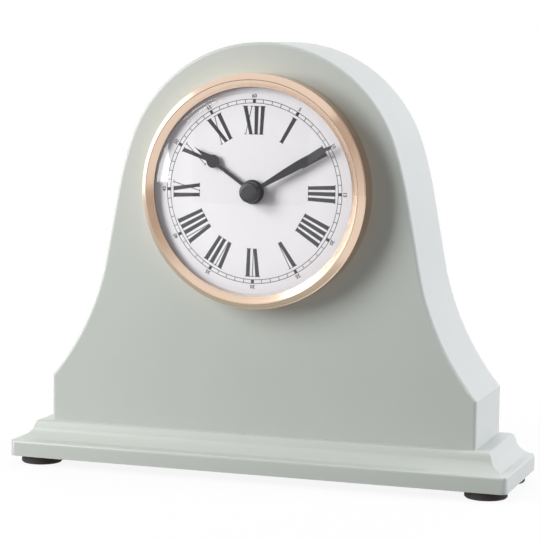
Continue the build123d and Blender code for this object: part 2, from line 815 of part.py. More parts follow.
# Rear cover of the movement, with the bearing holes of the arbors and the pegs of the stator
bearing_places = {
    centre: pivot_radius,
    third_axis: pivot_radius,
    intermediate_axis: pivot_radius,
    rotor_axis: pivot_radius,
}
arbor_end = cover_inside - arbor_end_play
stator_left = coil_left - core_overhang
stator_right = coil_left + coil_length + core_overhang
peg_places = [
    (stator_left + stator_arm / 2, rotor_axis[1]),
    (stator_right - stator_arm / 2, coil_height - coil_flange / 2),
]
with BuildPart() as movement_rear_cover:
    movement_walls(movement_joint, movement_rear, bay_wall_top, movement_top)
    movement_walls(
        movement_joint,
        cover_inside,
        bay_wall_top + movement_wall,
        inside_top,
        movement_wall,
        Mode.SUBTRACT,
    )
    rod(cover_inside, movement_rear, stem_radius + running_clearance, knob_axis, Mode.SUBTRACT)
    for bearing, radius in bearing_places.items():
        bearing_end = cover_inside + pivot_length
        rod(cover_inside, bearing_end, radius + running_clearance, bearing, Mode.SUBTRACT)
    for peg in peg_places:
        rod(stator_rear, cover_inside, stator_peg_radius, peg)

# Washers and the hexagon nut that clamp the movement to the cup
with BuildPart() as rubber_washer:
    rod(movement_front - rubber_thickness, movement_front, rubber_radius)
    rod(
        movement_front - rubber_thickness,
        movement_front,
        bush_radius + fixed_clearance,
        mode=Mode.SUBTRACT,
    )

with BuildPart() as brass_washer:
    rod(cup_floor_front - washer_thickness, cup_floor_front, washer_radius)
    rod(
        cup_floor_front - washer_thickness,
        cup_floor_front,
        bush_radius + fixed_clearance,
        mode=Mode.SUBTRACT,
    )

with BuildPart() as hex_nut:
    nut_rear = cup_floor_front - washer_thickness
    with BuildSketch(level(nut_rear)):
        RegularPolygon(nut_across_flats / 2, 6, major_radius=False)
        Circle(bush_radius + fixed_clearance, mode=Mode.SUBTRACT)
    extrude(amount=nut_thickness)

# Train plate between the motion work and the going train
with BuildPart() as train_plate:
    plate_middle = ((pillar_left + pillar_right) / 2, (pillar_low + pillar_high) / 2)
    with BuildSketch(level(plate_front, plate_middle)):
        RectangleRounded(
            pillar_right - pillar_left + 2 * plate_margin,
            pillar_high - pillar_low + 2 * plate_margin,
            plate_margin,
        )
    extrude(amount=plate_front - plate_rear)
    for pillar in pillar_places:
        if pillar[0] == pillar_right:
            rod(plate_rear, board_front, spacer_radius, pillar)
        rod(plate_front, board_front, pillar_pin_radius + fixed_clearance, pillar, Mode.SUBTRACT)
    plate_holes = {
        centre: minute_arbor_radius,
        third_axis: third_arbor_radius,
        intermediate_axis: pivot_radius,
        rotor_axis: pivot_radius,
    }
    for hole, radius in plate_holes.items():
        rod(plate_front, plate_rear, radius + running_clearance, hole, Mode.SUBTRACT)
    rod(plate_front, plate_rear, stem_radius + stem_plate_clearance, knob_axis, Mode.SUBTRACT)

# Circuit board with the timer chip's sealed blob and the quartz crystal's can
with BuildPart() as circuit_board:
    board_middle = (board_left + board_width / 2, plate_middle[1])
    board_height = pillar_high - pillar_low + 2 * plate_margin
    with BuildSketch(level(board_front, board_middle)):
        Rectangle(board_width, board_height)
    extrude(amount=-board_thickness)
    for pillar in pillar_places[2:]:
        rod(
            board_front,
            board_front + board_thickness,
            pillar_pin_radius + fixed_clearance,
            pillar,
            Mode.SUBTRACT,
        )

with BuildPart() as timer_chip:
    with BuildSketch(level(board_rear, board_middle)):
        Circle(chip_radius)
    extrude(amount=-chip_height)
    chamfer(timer_chip.edges().group_by(Axis.Y)[-1], length=chip_chamfer)

with BuildPart() as quartz_crystal:
    can_place = (
        board_middle[0] + crystal_side,
        front_y + board_rear + crystal_radius,
        dial_height + board_middle[1] + chip_radius + crystal_gap,
    )
    with BuildSketch(Plane.XY.offset(can_place[2])):
        with Locations(can_place[:2]):
            Circle(crystal_radius)
    extrude(amount=crystal_length)

# Coil on its bobbin, its core and the stator plate round the rotor
coil_middle = (0, front_y + coil_depth, dial_height + coil_height)
coil_plane = Plane(origin=coil_middle, x_dir=(0, 1, 0), z_dir=(1, 0, 0))

with BuildPart() as coil_bobbin:
    for flange_start in (coil_left, coil_left + coil_length - coil_flange_thickness):
        with BuildSketch(coil_plane.offset(flange_start)):
            Rectangle(coil_flange, coil_flange)
        extrude(amount=coil_flange_thickness)
    with BuildSketch(coil_plane.offset(coil_left)):
        Circle(coil_barrel_radius)
    extrude(amount=coil_length)
    with BuildSketch(coil_plane.offset(coil_left)):
        Rectangle(core_thickness, core_height)
    extrude(amount=coil_length, mode=Mode.SUBTRACT)

with BuildPart() as coil_winding:
    with BuildSketch(coil_plane.offset(coil_left + coil_flange_thickness)):
        Circle(coil_winding_radius)
        Circle(coil_barrel_radius, mode=Mode.SUBTRACT)
    extrude(amount=coil_length - 2 * coil_flange_thickness)

with BuildPart() as coil_core:
    with BuildSketch(coil_plane.offset(stator_left)):
        Rectangle(core_thickness, core_height)
    extrude(amount=stator_right - stator_left)

with BuildPart() as stator:
    ring_radius = magnet_radius + stator_gap + stator_ring
    arm_top = coil_height + core_height / 2
    arm_length = arm_top - rotor_axis[1]
    with BuildSketch(level(stator_front)):
        with Locations(rotor_axis):
            Circle(ring_radius)
        with Locations(((stator_left + rotor_axis[0]) / 2, rotor_axis[1])):
            Rectangle(rotor_axis[0] - stator_left, stator_arm)
        with Locations((stator_left + stator_arm / 2, rotor_axis[1] + arm_length / 2)):
            Rectangle(stator_arm, arm_length)
        with Locations((stator_right - stator_arm / 2, rotor_axis[1] + arm_length / 2)):
            Rectangle(stator_arm, arm_length)
        with Locations(rotor_axis):
            Circle(magnet_radius + stator_gap, mode=Mode.SUBTRACT)
    extrude(amount=stator_front - stator_rear)

# Battery lying across the bottom of the movement, and its two contacts
battery_plane = Plane(
    origin=(0, front_y + battery_depth, dial_height + bay_roof - battery_gap - battery_radius),
    x_dir=(0, 1, 0),
    z_dir=(1, 0, 0),
)
nub_end = contact_face - contact_dimple_height
battery_start = nub_end - battery_nub_length - battery_length
battery_middle = bay_roof - battery_gap - battery_radius
with BuildPart() as battery:
    with BuildSketch(battery_plane.offset(battery_start)):
        Circle(battery_radius)
    extrude(amount=battery_length)
    chamfer(battery.edges(), length=battery_edge_chamfer)
    with BuildSketch(battery_plane.offset(battery_start + battery_length)):
        Circle(battery_nub_radius)
    extrude(amount=battery_nub_length)

tail_top = bay_wall_top + contact_tail
with BuildPart() as contact_positive:
    with BuildSketch(level(battery_depth - contact_width / 2)):
        with BuildLine():
            Polyline(
                (contact_face, battery_middle - battery_radius / 2),
                (inside_side, battery_middle - battery_radius / 2),
                (inside_side, tail_top),
                (contact_face, tail_top),
                close=True,
            )
        make_face()
    extrude(amount=-contact_width)
    with BuildSketch(battery_plane.offset(nub_end)):
        Circle(contact_dimple_radius)
    extrude(amount=contact_dimple_height)

with BuildPart() as contact_negative:
    bow = battery_radius / 2
    with BuildSketch(level(battery_depth - contact_width / 2)):
        with BuildLine():
            ThreePointArc(
                (-contact_face, battery_middle - bow),
                (battery_start, battery_middle),
                (-contact_face, battery_middle + bow),
            )
            Polyline(
                (-contact_face, battery_middle + bow),
                (-contact_face, tail_top),
                (-inside_side, tail_top),
                (-inside_side, battery_middle + bow),
            )
            ThreePointArc(
                (-inside_side, battery_middle + bow),
                (battery_start - contact_thickness, battery_middle),
                (-inside_side, battery_middle - bow),
            )
            Line((-inside_side, battery_middle - bow), (-contact_face, battery_middle - bow))
        make_face()
    extrude(amount=-contact_width)

# Phases that put every pair of gears in mesh
cannon_phase = 0.0
motion_phase = mesh_phase(motion_direction, cannon_teeth, cannon_phase, motion_wheel_teeth)
knob_phase = mesh_phase(knob_direction, motion_wheel_teeth, motion_phase, cannon_teeth)
hour_phase = mesh_phase(motion_direction + 180, motion_pinion_teeth, 0.0, hour_teeth)
centre_phase = mesh_phase(third_direction + 180, pinion_teeth, 0.0, centre_teeth)
third_phase = mesh_phase(third_direction, pinion_teeth, 0.0, third_teeth)
seconds_phase = mesh_phase(intermediate_direction + 180, pinion_teeth, 0.0, seconds_teeth)
intermediate_phase = mesh_phase(rotor_direction + 180, pinion_teeth, 0.0, intermediate_teeth)

# Motion work: minute arbor with the cannon pinion, motion wheel, hour wheel and setting stem
minute_arbor_front = minute_hand_front - cap_socket
with BuildPart() as minute_arbor:
    gear(cannon_front, cannon_rear, cannon_teeth, motion_module, pinion_tooth, phase=cannon_phase)
    rod(minute_arbor_front, plate_rear, minute_arbor_radius)
    socket_start = plate_rear - pivot_length - arbor_end_play
    rod(socket_start, plate_rear, pivot_radius + running_clearance, mode=Mode.SUBTRACT)

with BuildPart() as hour_wheel:
    gear(hour_wheel_front, hour_wheel_rear, hour_teeth, hour_module, wheel_tooth, phase=hour_phase)
    pipe_front = hour_hand_front - hour_collet_front
    rod(pipe_front, hour_wheel_rear, hour_pipe_radius)
    rod(
        pipe_front, hour_wheel_rear, minute_arbor_radius + running_clearance, mode=Mode.SUBTRACT
    )

with BuildPart() as motion_wheel:
    gear(
        motion_wheel_front,
        motion_wheel_rear,
        motion_wheel_teeth,
        motion_module,
        wheel_tooth,
        motion_axis,
        motion_phase,
    )
    gear(
        motion_pinion_front,
        motion_wheel_front,
        motion_pinion_teeth,
        hour_module,
        pinion_tooth,
        motion_axis,
    )
    rod(
        motion_pinion_front,
        motion_wheel_rear,
        motion_post_radius + running_clearance,
        motion_axis,
        Mode.SUBTRACT,
    )

knob_front = movement_rear + knob_gap
stem_end = knob_front + knob_socket_depth
with BuildPart() as setting_stem:
    gear(
        cannon_front,
        cannon_rear,
        cannon_teeth,
        motion_module,
        pinion_tooth,
        knob_axis,
        knob_phase,
    )
    rod(movement_floor + arbor_end_play, cannon_front, stem_pivot_radius, knob_axis)
    rod(cannon_front, stem_end, stem_radius, knob_axis)

with BuildPart() as setting_knob:
    with BuildSketch(level(knob_front, knob_axis)):
        Circle(knob_radius)
        with PolarLocations(knob_radius, knob_grooves):
            Circle(knob_groove_radius, mode=Mode.SUBTRACT)
    extrude(amount=-knob_thickness)
    rod(knob_front, stem_end, stem_radius, knob_axis, Mode.SUBTRACT)

# Going train, from the slow centre wheel to the stepping rotor
with BuildPart() as centre_wheel:
    gear(
        centre_wheel_front,
        centre_wheel_rear,
        centre_teeth,
        centre_module,
        wheel_tooth,
        phase=centre_phase,
    )
    rod(
        centre_wheel_front,
        centre_wheel_rear,
        minute_arbor_radius + running_clearance,
        mode=Mode.SUBTRACT,
    )

with BuildPart() as friction_spring:
    rod(centre_wheel_rear, spring_rear, friction_spring_radius)
    rod(
        centre_wheel_rear,
        spring_rear,
        minute_arbor_radius + running_clearance,
        mode=Mode.SUBTRACT,
    )

with BuildPart() as third_wheel:
    gear(
        third_wheel_front,
        third_wheel_rear,
        third_teeth,
        third_module,
        wheel_tooth,
        third_axis,
        third_phase,
    )
    gear(
        third_pinion_front,
        third_pinion_rear,
        pinion_teeth,
        centre_module,
        pinion_tooth,
        third_axis,
    )
    rod(third_pinion_front, arbor_end, third_arbor_radius, third_axis)
    rod(third_boss_rear - pivot_length, third_pinion_front, pivot_radius, third_axis)
    rod(arbor_end, arbor_end + pivot_length, pivot_radius, third_axis)

with BuildPart() as seconds_wheel:
    gear(
        seconds_wheel_front,
        seconds_wheel_rear,
        seconds_teeth,
        seconds_module,
        wheel_tooth,
        phase=seconds_phase,
    )
    gear(seconds_pinion_front, seconds_pinion_rear, pinion_teeth, third_module, pinion_tooth)
    rod(seconds_pinion_front, arbor_end, seconds_arbor_radius)
    rod(plate_rear - pivot_length, seconds_pinion_front, pivot_radius)
    rod(arbor_end, arbor_end + pivot_length, pivot_radius)

with BuildPart() as intermediate_wheel:
    gear(
        intermediate_wheel_front,
        intermediate_wheel_rear,
        intermediate_teeth,
        intermediate_module,
        wheel_tooth,
        intermediate_axis,
        intermediate_phase,
    )
    gear(
        intermediate_pinion_front,
        intermediate_pinion_rear,
        pinion_teeth,
        seconds_module,
        pinion_tooth,
        intermediate_axis,
    )
    rod(plate_rear + arbor_end_play, arbor_end, arbor_radius, intermediate_axis)
    rod(plate_front, plate_rear + arbor_end_play, pivot_radius, intermediate_axis)
    rod(arbor_end, arbor_end + pivot_length, pivot_radius, intermediate_axis)

with BuildPart() as rotor_pinion:
    gear(
        rotor_pinion_front,
        rotor_pinion_rear,
        pinion_teeth,
        intermediate_module,
        pinion_tooth,
        rotor_axis,
    )
    rod(plate_rear + arbor_end_play, arbor_end, arbor_radius, rotor_axis)
    rod(plate_front, plate_rear + arbor_end_play, pivot_radius, rotor_axis)
    rod(arbor_end, arbor_end + pivot_length, pivot_radius, rotor_axis)

with BuildPart() as rotor_magnet:
    rod(magnet_front, magnet_rear, magnet_radius, rotor_axis)
    rod(magnet_front, magnet_rear, arbor_radius, rotor_axis, Mode.SUBTRACT)


def hand_plane(front, turn):
    """The plane of a hand's rear face, turned clockwise so that the hand is drawn pointing up."""
    flat = level(front + hand_thickness)
    across = (cos(radians(turn)), 0, -sin(radians(turn)))
    return Plane(origin=flat.origin, x_dir=across, z_dir=flat.z_dir)


# Hour hand: a thin stem, a round bulb and a pointed spade tip
minute_turn = 360 * shown_minute / 60
hour_turn = (360 * shown_hour + minute_turn) / 12
with BuildPart() as hour_hand:
    with BuildSketch(hand_plane(hour_hand_front, hour_turn)):
        Circle(hour_hub_radius)
        with Locations((0, hour_bulb_reach / 2)):
            Rectangle(hour_stem_width, hour_bulb_reach)
        with Locations((0, hour_bulb_reach)):
            Circle(hour_bulb_radius)
        with BuildLine():
            right = ThreePointArc(
                (hour_point_base / 2, hour_point_start),
                (hour_point_waist / 2, (hour_point_start + hour_hand_length) / 2),
                (0, hour_hand_length),
            )
            mirror(right, about=Plane.YZ)
            Line((-hour_point_base / 2, hour_point_start), (hour_point_base / 2, hour_point_start))
        make_face()
        Circle(hour_collet_neck_radius, mode=Mode.SUBTRACT)
    extrude(amount=hand_thickness)

with BuildPart() as hour_collet:
    rod(hour_hand_front - hour_collet_front, hour_hand_front, hour_collet_radius)
    collet_start = hour_hand_front + hand_thickness
    rod(hour_hand_front, collet_start, hour_collet_neck_radius)
    rod(collet_start, collet_start + hour_collet_rear, hour_collet_tube_radius)
    collet_end = collet_start + hour_collet_rear
    rod(
        hour_hand_front - hour_collet_front, collet_end, hour_pipe_radius, mode=Mode.SUBTRACT
    )

# Minute hand: widens slowly into a leaf, then tapers to its tip
with BuildPart() as minute_hand:
    with BuildSketch(hand_plane(minute_hand_front, minute_turn)):
        with BuildLine():
            edge = Spline(
                (minute_neck_width / 2, 0),
                (minute_leaf_width / 2, minute_leaf_reach),
                (minute_tip_width / 2, minute_hand_length),
                tangents=[(0, 1), (-minute_tip_lean, 1)],
            )
            mirror(edge, about=Plane.YZ)
            Line((-minute_tip_width / 2, minute_hand_length), (minute_tip_width / 2, minute_hand_length))
            Line((-minute_neck_width / 2, 0), (minute_neck_width / 2, 0))
        make_face()
        Circle(minute_hub_radius)
        Circle(minute_arbor_radius, mode=Mode.SUBTRACT)
    extrude(amount=hand_thickness)

with BuildPart() as minute_collet:
    minute_collet_rear = minute_hand_rear + minute_collet_length
    rod(minute_hand_rear, minute_collet_rear, minute_collet_radius)
    rod(minute_hand_rear, minute_collet_rear, minute_arbor_radius, mode=Mode.SUBTRACT)

with BuildPart() as hand_cap:
    rod(minute_hand_front - cap_height, minute_hand_front, cap_radius)
    fillet(hand_cap.edges().group_by(Axis.Y)[0], radius=cap_round)
    rod(minute_arbor_front, minute_hand_front, minute_arbor_radius, mode=Mode.SUBTRACT)

pieces = {
    "case_body": case_body,
    "back_panel": back_panel,
    "back_panel_screws": back_panel_screws,
    "plinth": plinth,
    "plinth_screws": plinth_screws,
    "foot_screws": foot_screws,
    "bezel": bezel,
    "lens": lens,
    "lens_gasket": lens_gasket,
    "dial": dial,
    "dial_cup": dial_cup,
    "clip_screws": clip_screws,
    "movement_front_shell": movement_front_shell,
    "movement_rear_cover": movement_rear_cover,
    "rubber_washer": rubber_washer,
    "brass_washer": brass_washer,
    "hex_nut": hex_nut,
    "train_plate": train_plate,
    "circuit_board": circuit_board,
    "timer_chip": timer_chip,
    "quartz_crystal": quartz_crystal,
    "coil_bobbin": coil_bobbin,
    "coil_winding": coil_winding,
    "coil_core": coil_core,
    "stator": stator,
    "battery": battery,
    "contact_positive": contact_positive,
    "contact_negative": contact_negative,
    "minute_arbor": minute_arbor,
    "hour_wheel": hour_wheel,
    "motion_wheel": motion_wheel,
    "setting_stem": setting_stem,
    "setting_knob": setting_knob,
    "centre_wheel": centre_wheel,
    "friction_spring": friction_spring,
    "third_wheel": third_wheel,
    "seconds_wheel": seconds_wheel,
    "intermediate_wheel": intermediate_wheel,
    "rotor_pinion": rotor_pinion,
    "rotor_magnet": rotor_magnet,
    "hour_hand": hour_hand,
    "hour_collet": hour_collet,
    "minute_hand": minute_hand,
    "minute_collet": minute_collet,
    "hand_cap": hand_cap,
}
pieces.update(feet)
pieces.update(clips)

os.makedirs("parts", exist_ok=True)
for name, piece in pieces.items():
    piece.part.label = name
    export_step(piece.part, f"parts/{name}.step")
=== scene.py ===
import json
from math import cos, pi, radians, sin

import bmesh
import bpy
from mathutils import Matrix, Vector


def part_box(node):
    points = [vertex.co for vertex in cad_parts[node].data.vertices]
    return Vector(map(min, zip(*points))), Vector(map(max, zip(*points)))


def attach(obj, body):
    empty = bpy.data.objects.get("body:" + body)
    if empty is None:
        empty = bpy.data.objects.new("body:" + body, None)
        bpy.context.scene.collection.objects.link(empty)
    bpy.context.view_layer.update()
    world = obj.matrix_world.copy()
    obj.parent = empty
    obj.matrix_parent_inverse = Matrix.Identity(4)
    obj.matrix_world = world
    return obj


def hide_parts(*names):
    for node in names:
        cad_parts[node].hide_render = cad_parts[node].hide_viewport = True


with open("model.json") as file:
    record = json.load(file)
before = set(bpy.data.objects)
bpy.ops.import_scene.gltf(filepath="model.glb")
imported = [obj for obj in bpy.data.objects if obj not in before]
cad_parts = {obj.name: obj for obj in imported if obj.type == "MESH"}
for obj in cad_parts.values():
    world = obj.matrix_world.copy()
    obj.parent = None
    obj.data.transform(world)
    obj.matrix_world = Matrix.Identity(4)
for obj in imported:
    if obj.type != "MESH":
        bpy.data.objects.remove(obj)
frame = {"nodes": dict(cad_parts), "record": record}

MM = 0.001
SCENE = bpy.context.scene
NODES = frame["nodes"]
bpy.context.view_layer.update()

# Camera, as fitted to the photograph's edges
CAMERA_PLACE = Vector((257.9, -767.9, 166.9)) * MM
CAMERA_TARGET = Vector((-3.0, -12.4, 79.5)) * MM
CAMERA_ROLL = radians(0.6)
CAMERA_LENS = 141.9
CAMERA_SHIFT = (0.035, 0.001)

# Dial: its centre and front face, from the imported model
dial_low, dial_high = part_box("dial")
DIAL_X = (dial_low.x + dial_high.x) / 2
DIAL_Y = dial_low.y
DIAL_Z = (dial_low.z + dial_high.z) / 2

# Dial print: how far it stands out of the dial and reaches into it
PRINT_HEIGHT = 0.02 * MM
PRINT_SINK = 0.01 * MM
PRINT_FRONT = DIAL_Y - PRINT_HEIGHT
PRINT_REAR = DIAL_Y + PRINT_SINK

# Minute track: radii from the dial's centre, and strokes
TRACK_OUTER = 34.4 * MM
TRACK_INNER = 33.0 * MM
TRACK_LINE = 0.22 * MM
TRACK_SIDES = 240
TICK_WIDTH = 0.24 * MM
MARK_WIDTH = 1.15 * MM
MARK_OVERHANG = 0.08 * MM
MINUTES = 60
MARK_MINUTES = 5

# Minute figures: radius, height, thickening, the height's share of the type size, and curve steps
FIGURE_RADIUS = 35.0 * MM
FIGURE_HEIGHT = 1.4 * MM
FIGURE_WEIGHT = 0.05 * MM
FIGURE_SHARE = 0.72
FIGURE_CURVE_STEPS = 3

# Numerals: radii from the dial's centre, widening to the rim, strokes, and widths of the letters
NUMERAL_OUTER = 31.9 * MM
NUMERAL_INNER = 21.3 * MM
NUMERAL_HEIGHT = NUMERAL_OUTER - NUMERAL_INNER
NUMERAL_FAN = 0.5
THICK_STROKE = 1.42 * MM
THIN_STROKE = 0.28 * MM
THIN_FOOT = THIN_STROKE * 2
SERIF_HEIGHT = 0.26 * MM
SERIF_REACH = 0.27 * MM
FIVE_INSET = THICK_STROKE * 0.8
FIVE_APEX_SHIFT = THICK_STROKE * 0.1
TEN_INSET = THICK_STROKE * 0.75
LETTER_WIDTHS = {"I": 2.25 * MM, "V": 3.5 * MM, "X": 4.0 * MM}
HOURS = ("XII", "I", "II", "III", "IIII", "V", "VI", "VII", "VIII", "IX", "X", "XI")

# Back screws: head, shank, turn of each one's recess, the recess, and the thread down to the point
SCREW_HEAD_RADIUS = 2.3 * MM
SCREW_HEAD_HEIGHT = 1.2 * MM
SCREW_RADIUS = 1.1 * MM
SCREW_LENGTH = 10 * MM
SCREW_SIDES = 40
SCREW_SPACING = 6 * MM
SCREW_FIRST_DEGREES = 23
SCREW_NEXT_DEGREES = 37
HEAD_EDGE = SCREW_HEAD_RADIUS * 0.03
CROSS_ARM = SCREW_HEAD_RADIUS * 0.58
CROSS_BLADE = SCREW_HEAD_RADIUS * 0.12
CROSS_DEPTH = SCREW_HEAD_HEIGHT * 0.6
CROSS_TAPER = 0.6
THREAD_START = -SCREW_HEAD_HEIGHT - (SCREW_LENGTH - SCREW_HEAD_HEIGHT) * 0.12
THREAD_END = -SCREW_LENGTH + SCREW_RADIUS * 2
THREAD_TURNS = 14
THREAD_CORE = SCREW_RADIUS * 0.74
THREAD_NECK = SCREW_RADIUS * 0.95
THREAD_ROOT_SHARE = 0.35
THREAD_CREST_SHARE = 0.75
SCREW_TIP_RADIUS = 0.08 * MM

# Plinth moulding: depth of the model's cove, and how much further in the S shape is drawn by height
MOULDING_DEPTH = 6.5 * MM
MOULDING_SLACK = 0.15 * MM
OGEE_CUTS = 14
OGEE_WELD = 0.001 * MM
OGEE_SHARP_ANGLE = radians(32)
OGEE_STEPS = [
    (height * MM, shift * MM)
    for height, shift in (
        (6.9, 0.0), (7.5, 0.3), (8.3, 0.8), (9.3, 1.4), (10.3, 1.85),
        (11.4, 2.15), (12.4, 2.55), (12.9, 2.75), (13.3, 2.9), (13.6, 3.1),
    )
]

# Arrow on the setting knob: its arc, its widths, and how far it stands out and reaches in
ARROW_RADIUS = 3.9 * MM
ARROW_HALF_WIDTH = 0.35 * MM
ARROW_HEAD_HALF_WIDTH = 3 * ARROW_HALF_WIDTH
ARROW_TIP = 1.6 * MM
ARROW_START = radians(-30)
ARROW_SWEEP = radians(250)
ARROW_STEPS = 18
ARROW_HEIGHT = 0.25 * MM
ARROW_SINK = 0.1 * MM

# Bare board: the case's middle, the front board's depth, margins, and how squarely a face has to turn
CASE_MIDDLE = Vector((0.0, 0.0, 77.0)) * MM
FRONT_BOARD = 8.5 * MM
PANEL_MARGIN = 0.4 * MM
PLINTH_MARGIN = 0.5 * MM
INWARD_MARGIN = 0.5 * MM
FACING_LEVEL = 0.5

# Lens: its mirroring face-on and edge-on, and how steeply the one goes over to the other
LENS_BLEND = 0.5
LENS_FACE_MIRROR = 0.03
LENS_EDGE_MIRROR = 0.9
LENS_POWER = 5.0

# Shader nodes: a noise's middle range, an edge's range, the mix node's sockets, rays that see white
NOISE_LOW = 0.25
NOISE_HIGH = 0.75
EDGE_NONE = 0.985
EDGE_FULL = 0.8
EDGE_SAMPLES = 6
MIX_FIRST = 6
MIX_SECOND = 7
MIX_RESULT = 2
SEEN_RAYS = ("Is Camera Ray", "Is Glossy Ray", "Is Transmission Ray")

# Colours, from 0 to 255
SAGE = (184, 189, 183)
# Painted highlight colour for the paint's edges
SAGE_EDGE_HIGHLIGHT = (214, 219, 212)
BARE_BOARD = (150, 120, 88)
ROSE_GOLD = (232, 206, 184)
DIAL_WHITE = (245, 243, 245)
DIAL_SHADE = (214, 209, 216)
HAND_BLACK = (30, 29, 32)
# Painted highlight colour for the hands' edges
HAND_EDGE_HIGHLIGHT = (120, 118, 120)
INK = (26, 25, 29)
FOOT_BROWN = (36, 27, 25)
FOOT_SCUFF = (96, 86, 80)
LENS_TINT = (252, 252, 255)
LENS_CLEAR = (254, 254, 254)
RESIN_BROWN = (112, 78, 38)
TRACK_COPPER = (168, 120, 62)
WIRE_COPPER = (196, 112, 66)
JACKET_DARK = (44, 46, 52)
JACKET_COPPER = (190, 128, 84)
NUB_STEEL = (180, 180, 182)
KNOB_MARK_GREY = (150, 150, 148)
BLACK = (0, 0, 0)
WHITE = (255, 255, 255)
FLOOR_GREY = (225, 225, 225)
FLOOR_BOUNCE = (112, 112, 114)

# Curve from a colour's share of full to linear light
CURVE_KNEE = 0.04045
CURVE_SLOPE = 12.92
CURVE_OFFSET = 0.055
CURVE_POWER = 2.4
FULL_CHANNEL = 255

# Studio in metres: point that lamps and cards face, world's light, floor's white by distance, lamp tints
STUDIO_AIM = Vector((0.0, 0.0, 0.09))
WORLD_LIGHT = 0.25
FLOOR_SIZE = (6.0, 6.0)
FLOOR_MOTTLE = 0.4
FLOOR_NEAR, FLOOR_NEAR_GLOW = 0.2, 0.9
FLOOR_FAR, FLOOR_FAR_GLOW = 0.9, 1.0
NEUTRAL_LIGHT = (1.0, 1.0, 1.0)
COOL_LIGHT = (0.92, 0.9, 1.0)

# Softboxes: name, place, width and height, power, light colour, and whether reflections show them
SOFTBOXES = (
    ("key_softbox", (-0.6, -0.5, 0.36), (0.3, 0.6), 8.1, NEUTRAL_LIGHT, True),
    ("side_softbox", (0.75, 0.12, 0.42), (0.5, 0.6), 8.2, COOL_LIGHT, False),
    ("top_softbox", (-0.1, -0.1, 1.2), (0.6, 0.6), 1.4, NEUTRAL_LIGHT, False),
    ("rear_softbox", (-0.3, 0.95, 0.6), (0.7, 0.7), 7.0, NEUTRAL_LIGHT, False),
)

# Reflector cards: name, place, width and height, colour, and strength
REFLECTORS = (
    ("right_flag", (0.85, -0.5, 0.4), (0.9, 1.5), (190, 178, 168), 1.0),
    ("front_flag", (-0.28, -0.85, 0.15), (0.5, 0.6), (168, 166, 169), 1.0),
    ("left_panel", (-1.0, 0.3, 0.25), (1.1, 1.1), WHITE, 2.2),
)


def linear(colour):
    """A colour counted from 0 to 255 as the linear light values that shaders take."""
    light = []
    for channel in colour:
        share = channel / FULL_CHANNEL
        if share <= CURVE_KNEE:
            light.append(share / CURVE_SLOPE)
        else:
            light.append(((share + CURVE_OFFSET) / (1 + CURVE_OFFSET)) ** CURVE_POWER)
    return (*light, 1.0)


class Wiring:
    """Short calls that build the nodes of one material or world."""

    def __init__(self, tree):
        self.tree = tree

    def node(self, kind, **settings):
        made = self.tree.nodes.new(kind)
        for name, value in settings.items():
            setattr(made, name, value)
        return made

    def feed(self, socket, value):
        """Gives a socket a number, a colour or another node's output."""
        if isinstance(value, bpy.types.NodeSocket):
            self.tree.links.new(value, socket)
        else:
            socket.default_value = value

    def math(self, operation, first, second=0.0):
        made = self.node("ShaderNodeMath", operation=operation)
        self.feed(made.inputs[0], first)
        self.feed(made.inputs[1], second)
        return made.outputs[0]

    def remap(self, value, low, high, new_low=0.0, new_high=1.0):
        """Carries a value from one range to another, and holds it at the ends."""
        made = self.node("ShaderNodeMapRange", clamp=True)
        for slot, number in enumerate((value, low, high, new_low, new_high)):
            self.feed(made.inputs[slot], number)
        return made.outputs["Result"]

    def any_ray(self, *kinds):
        """1 for rays of the named kinds, and 0 for all others."""
        path = self.node("ShaderNodeLightPath")
        found = path.outputs[kinds[0]]
        for kind in kinds[1:]:
            found = self.math("MAXIMUM", found, path.outputs[kind])
        return found


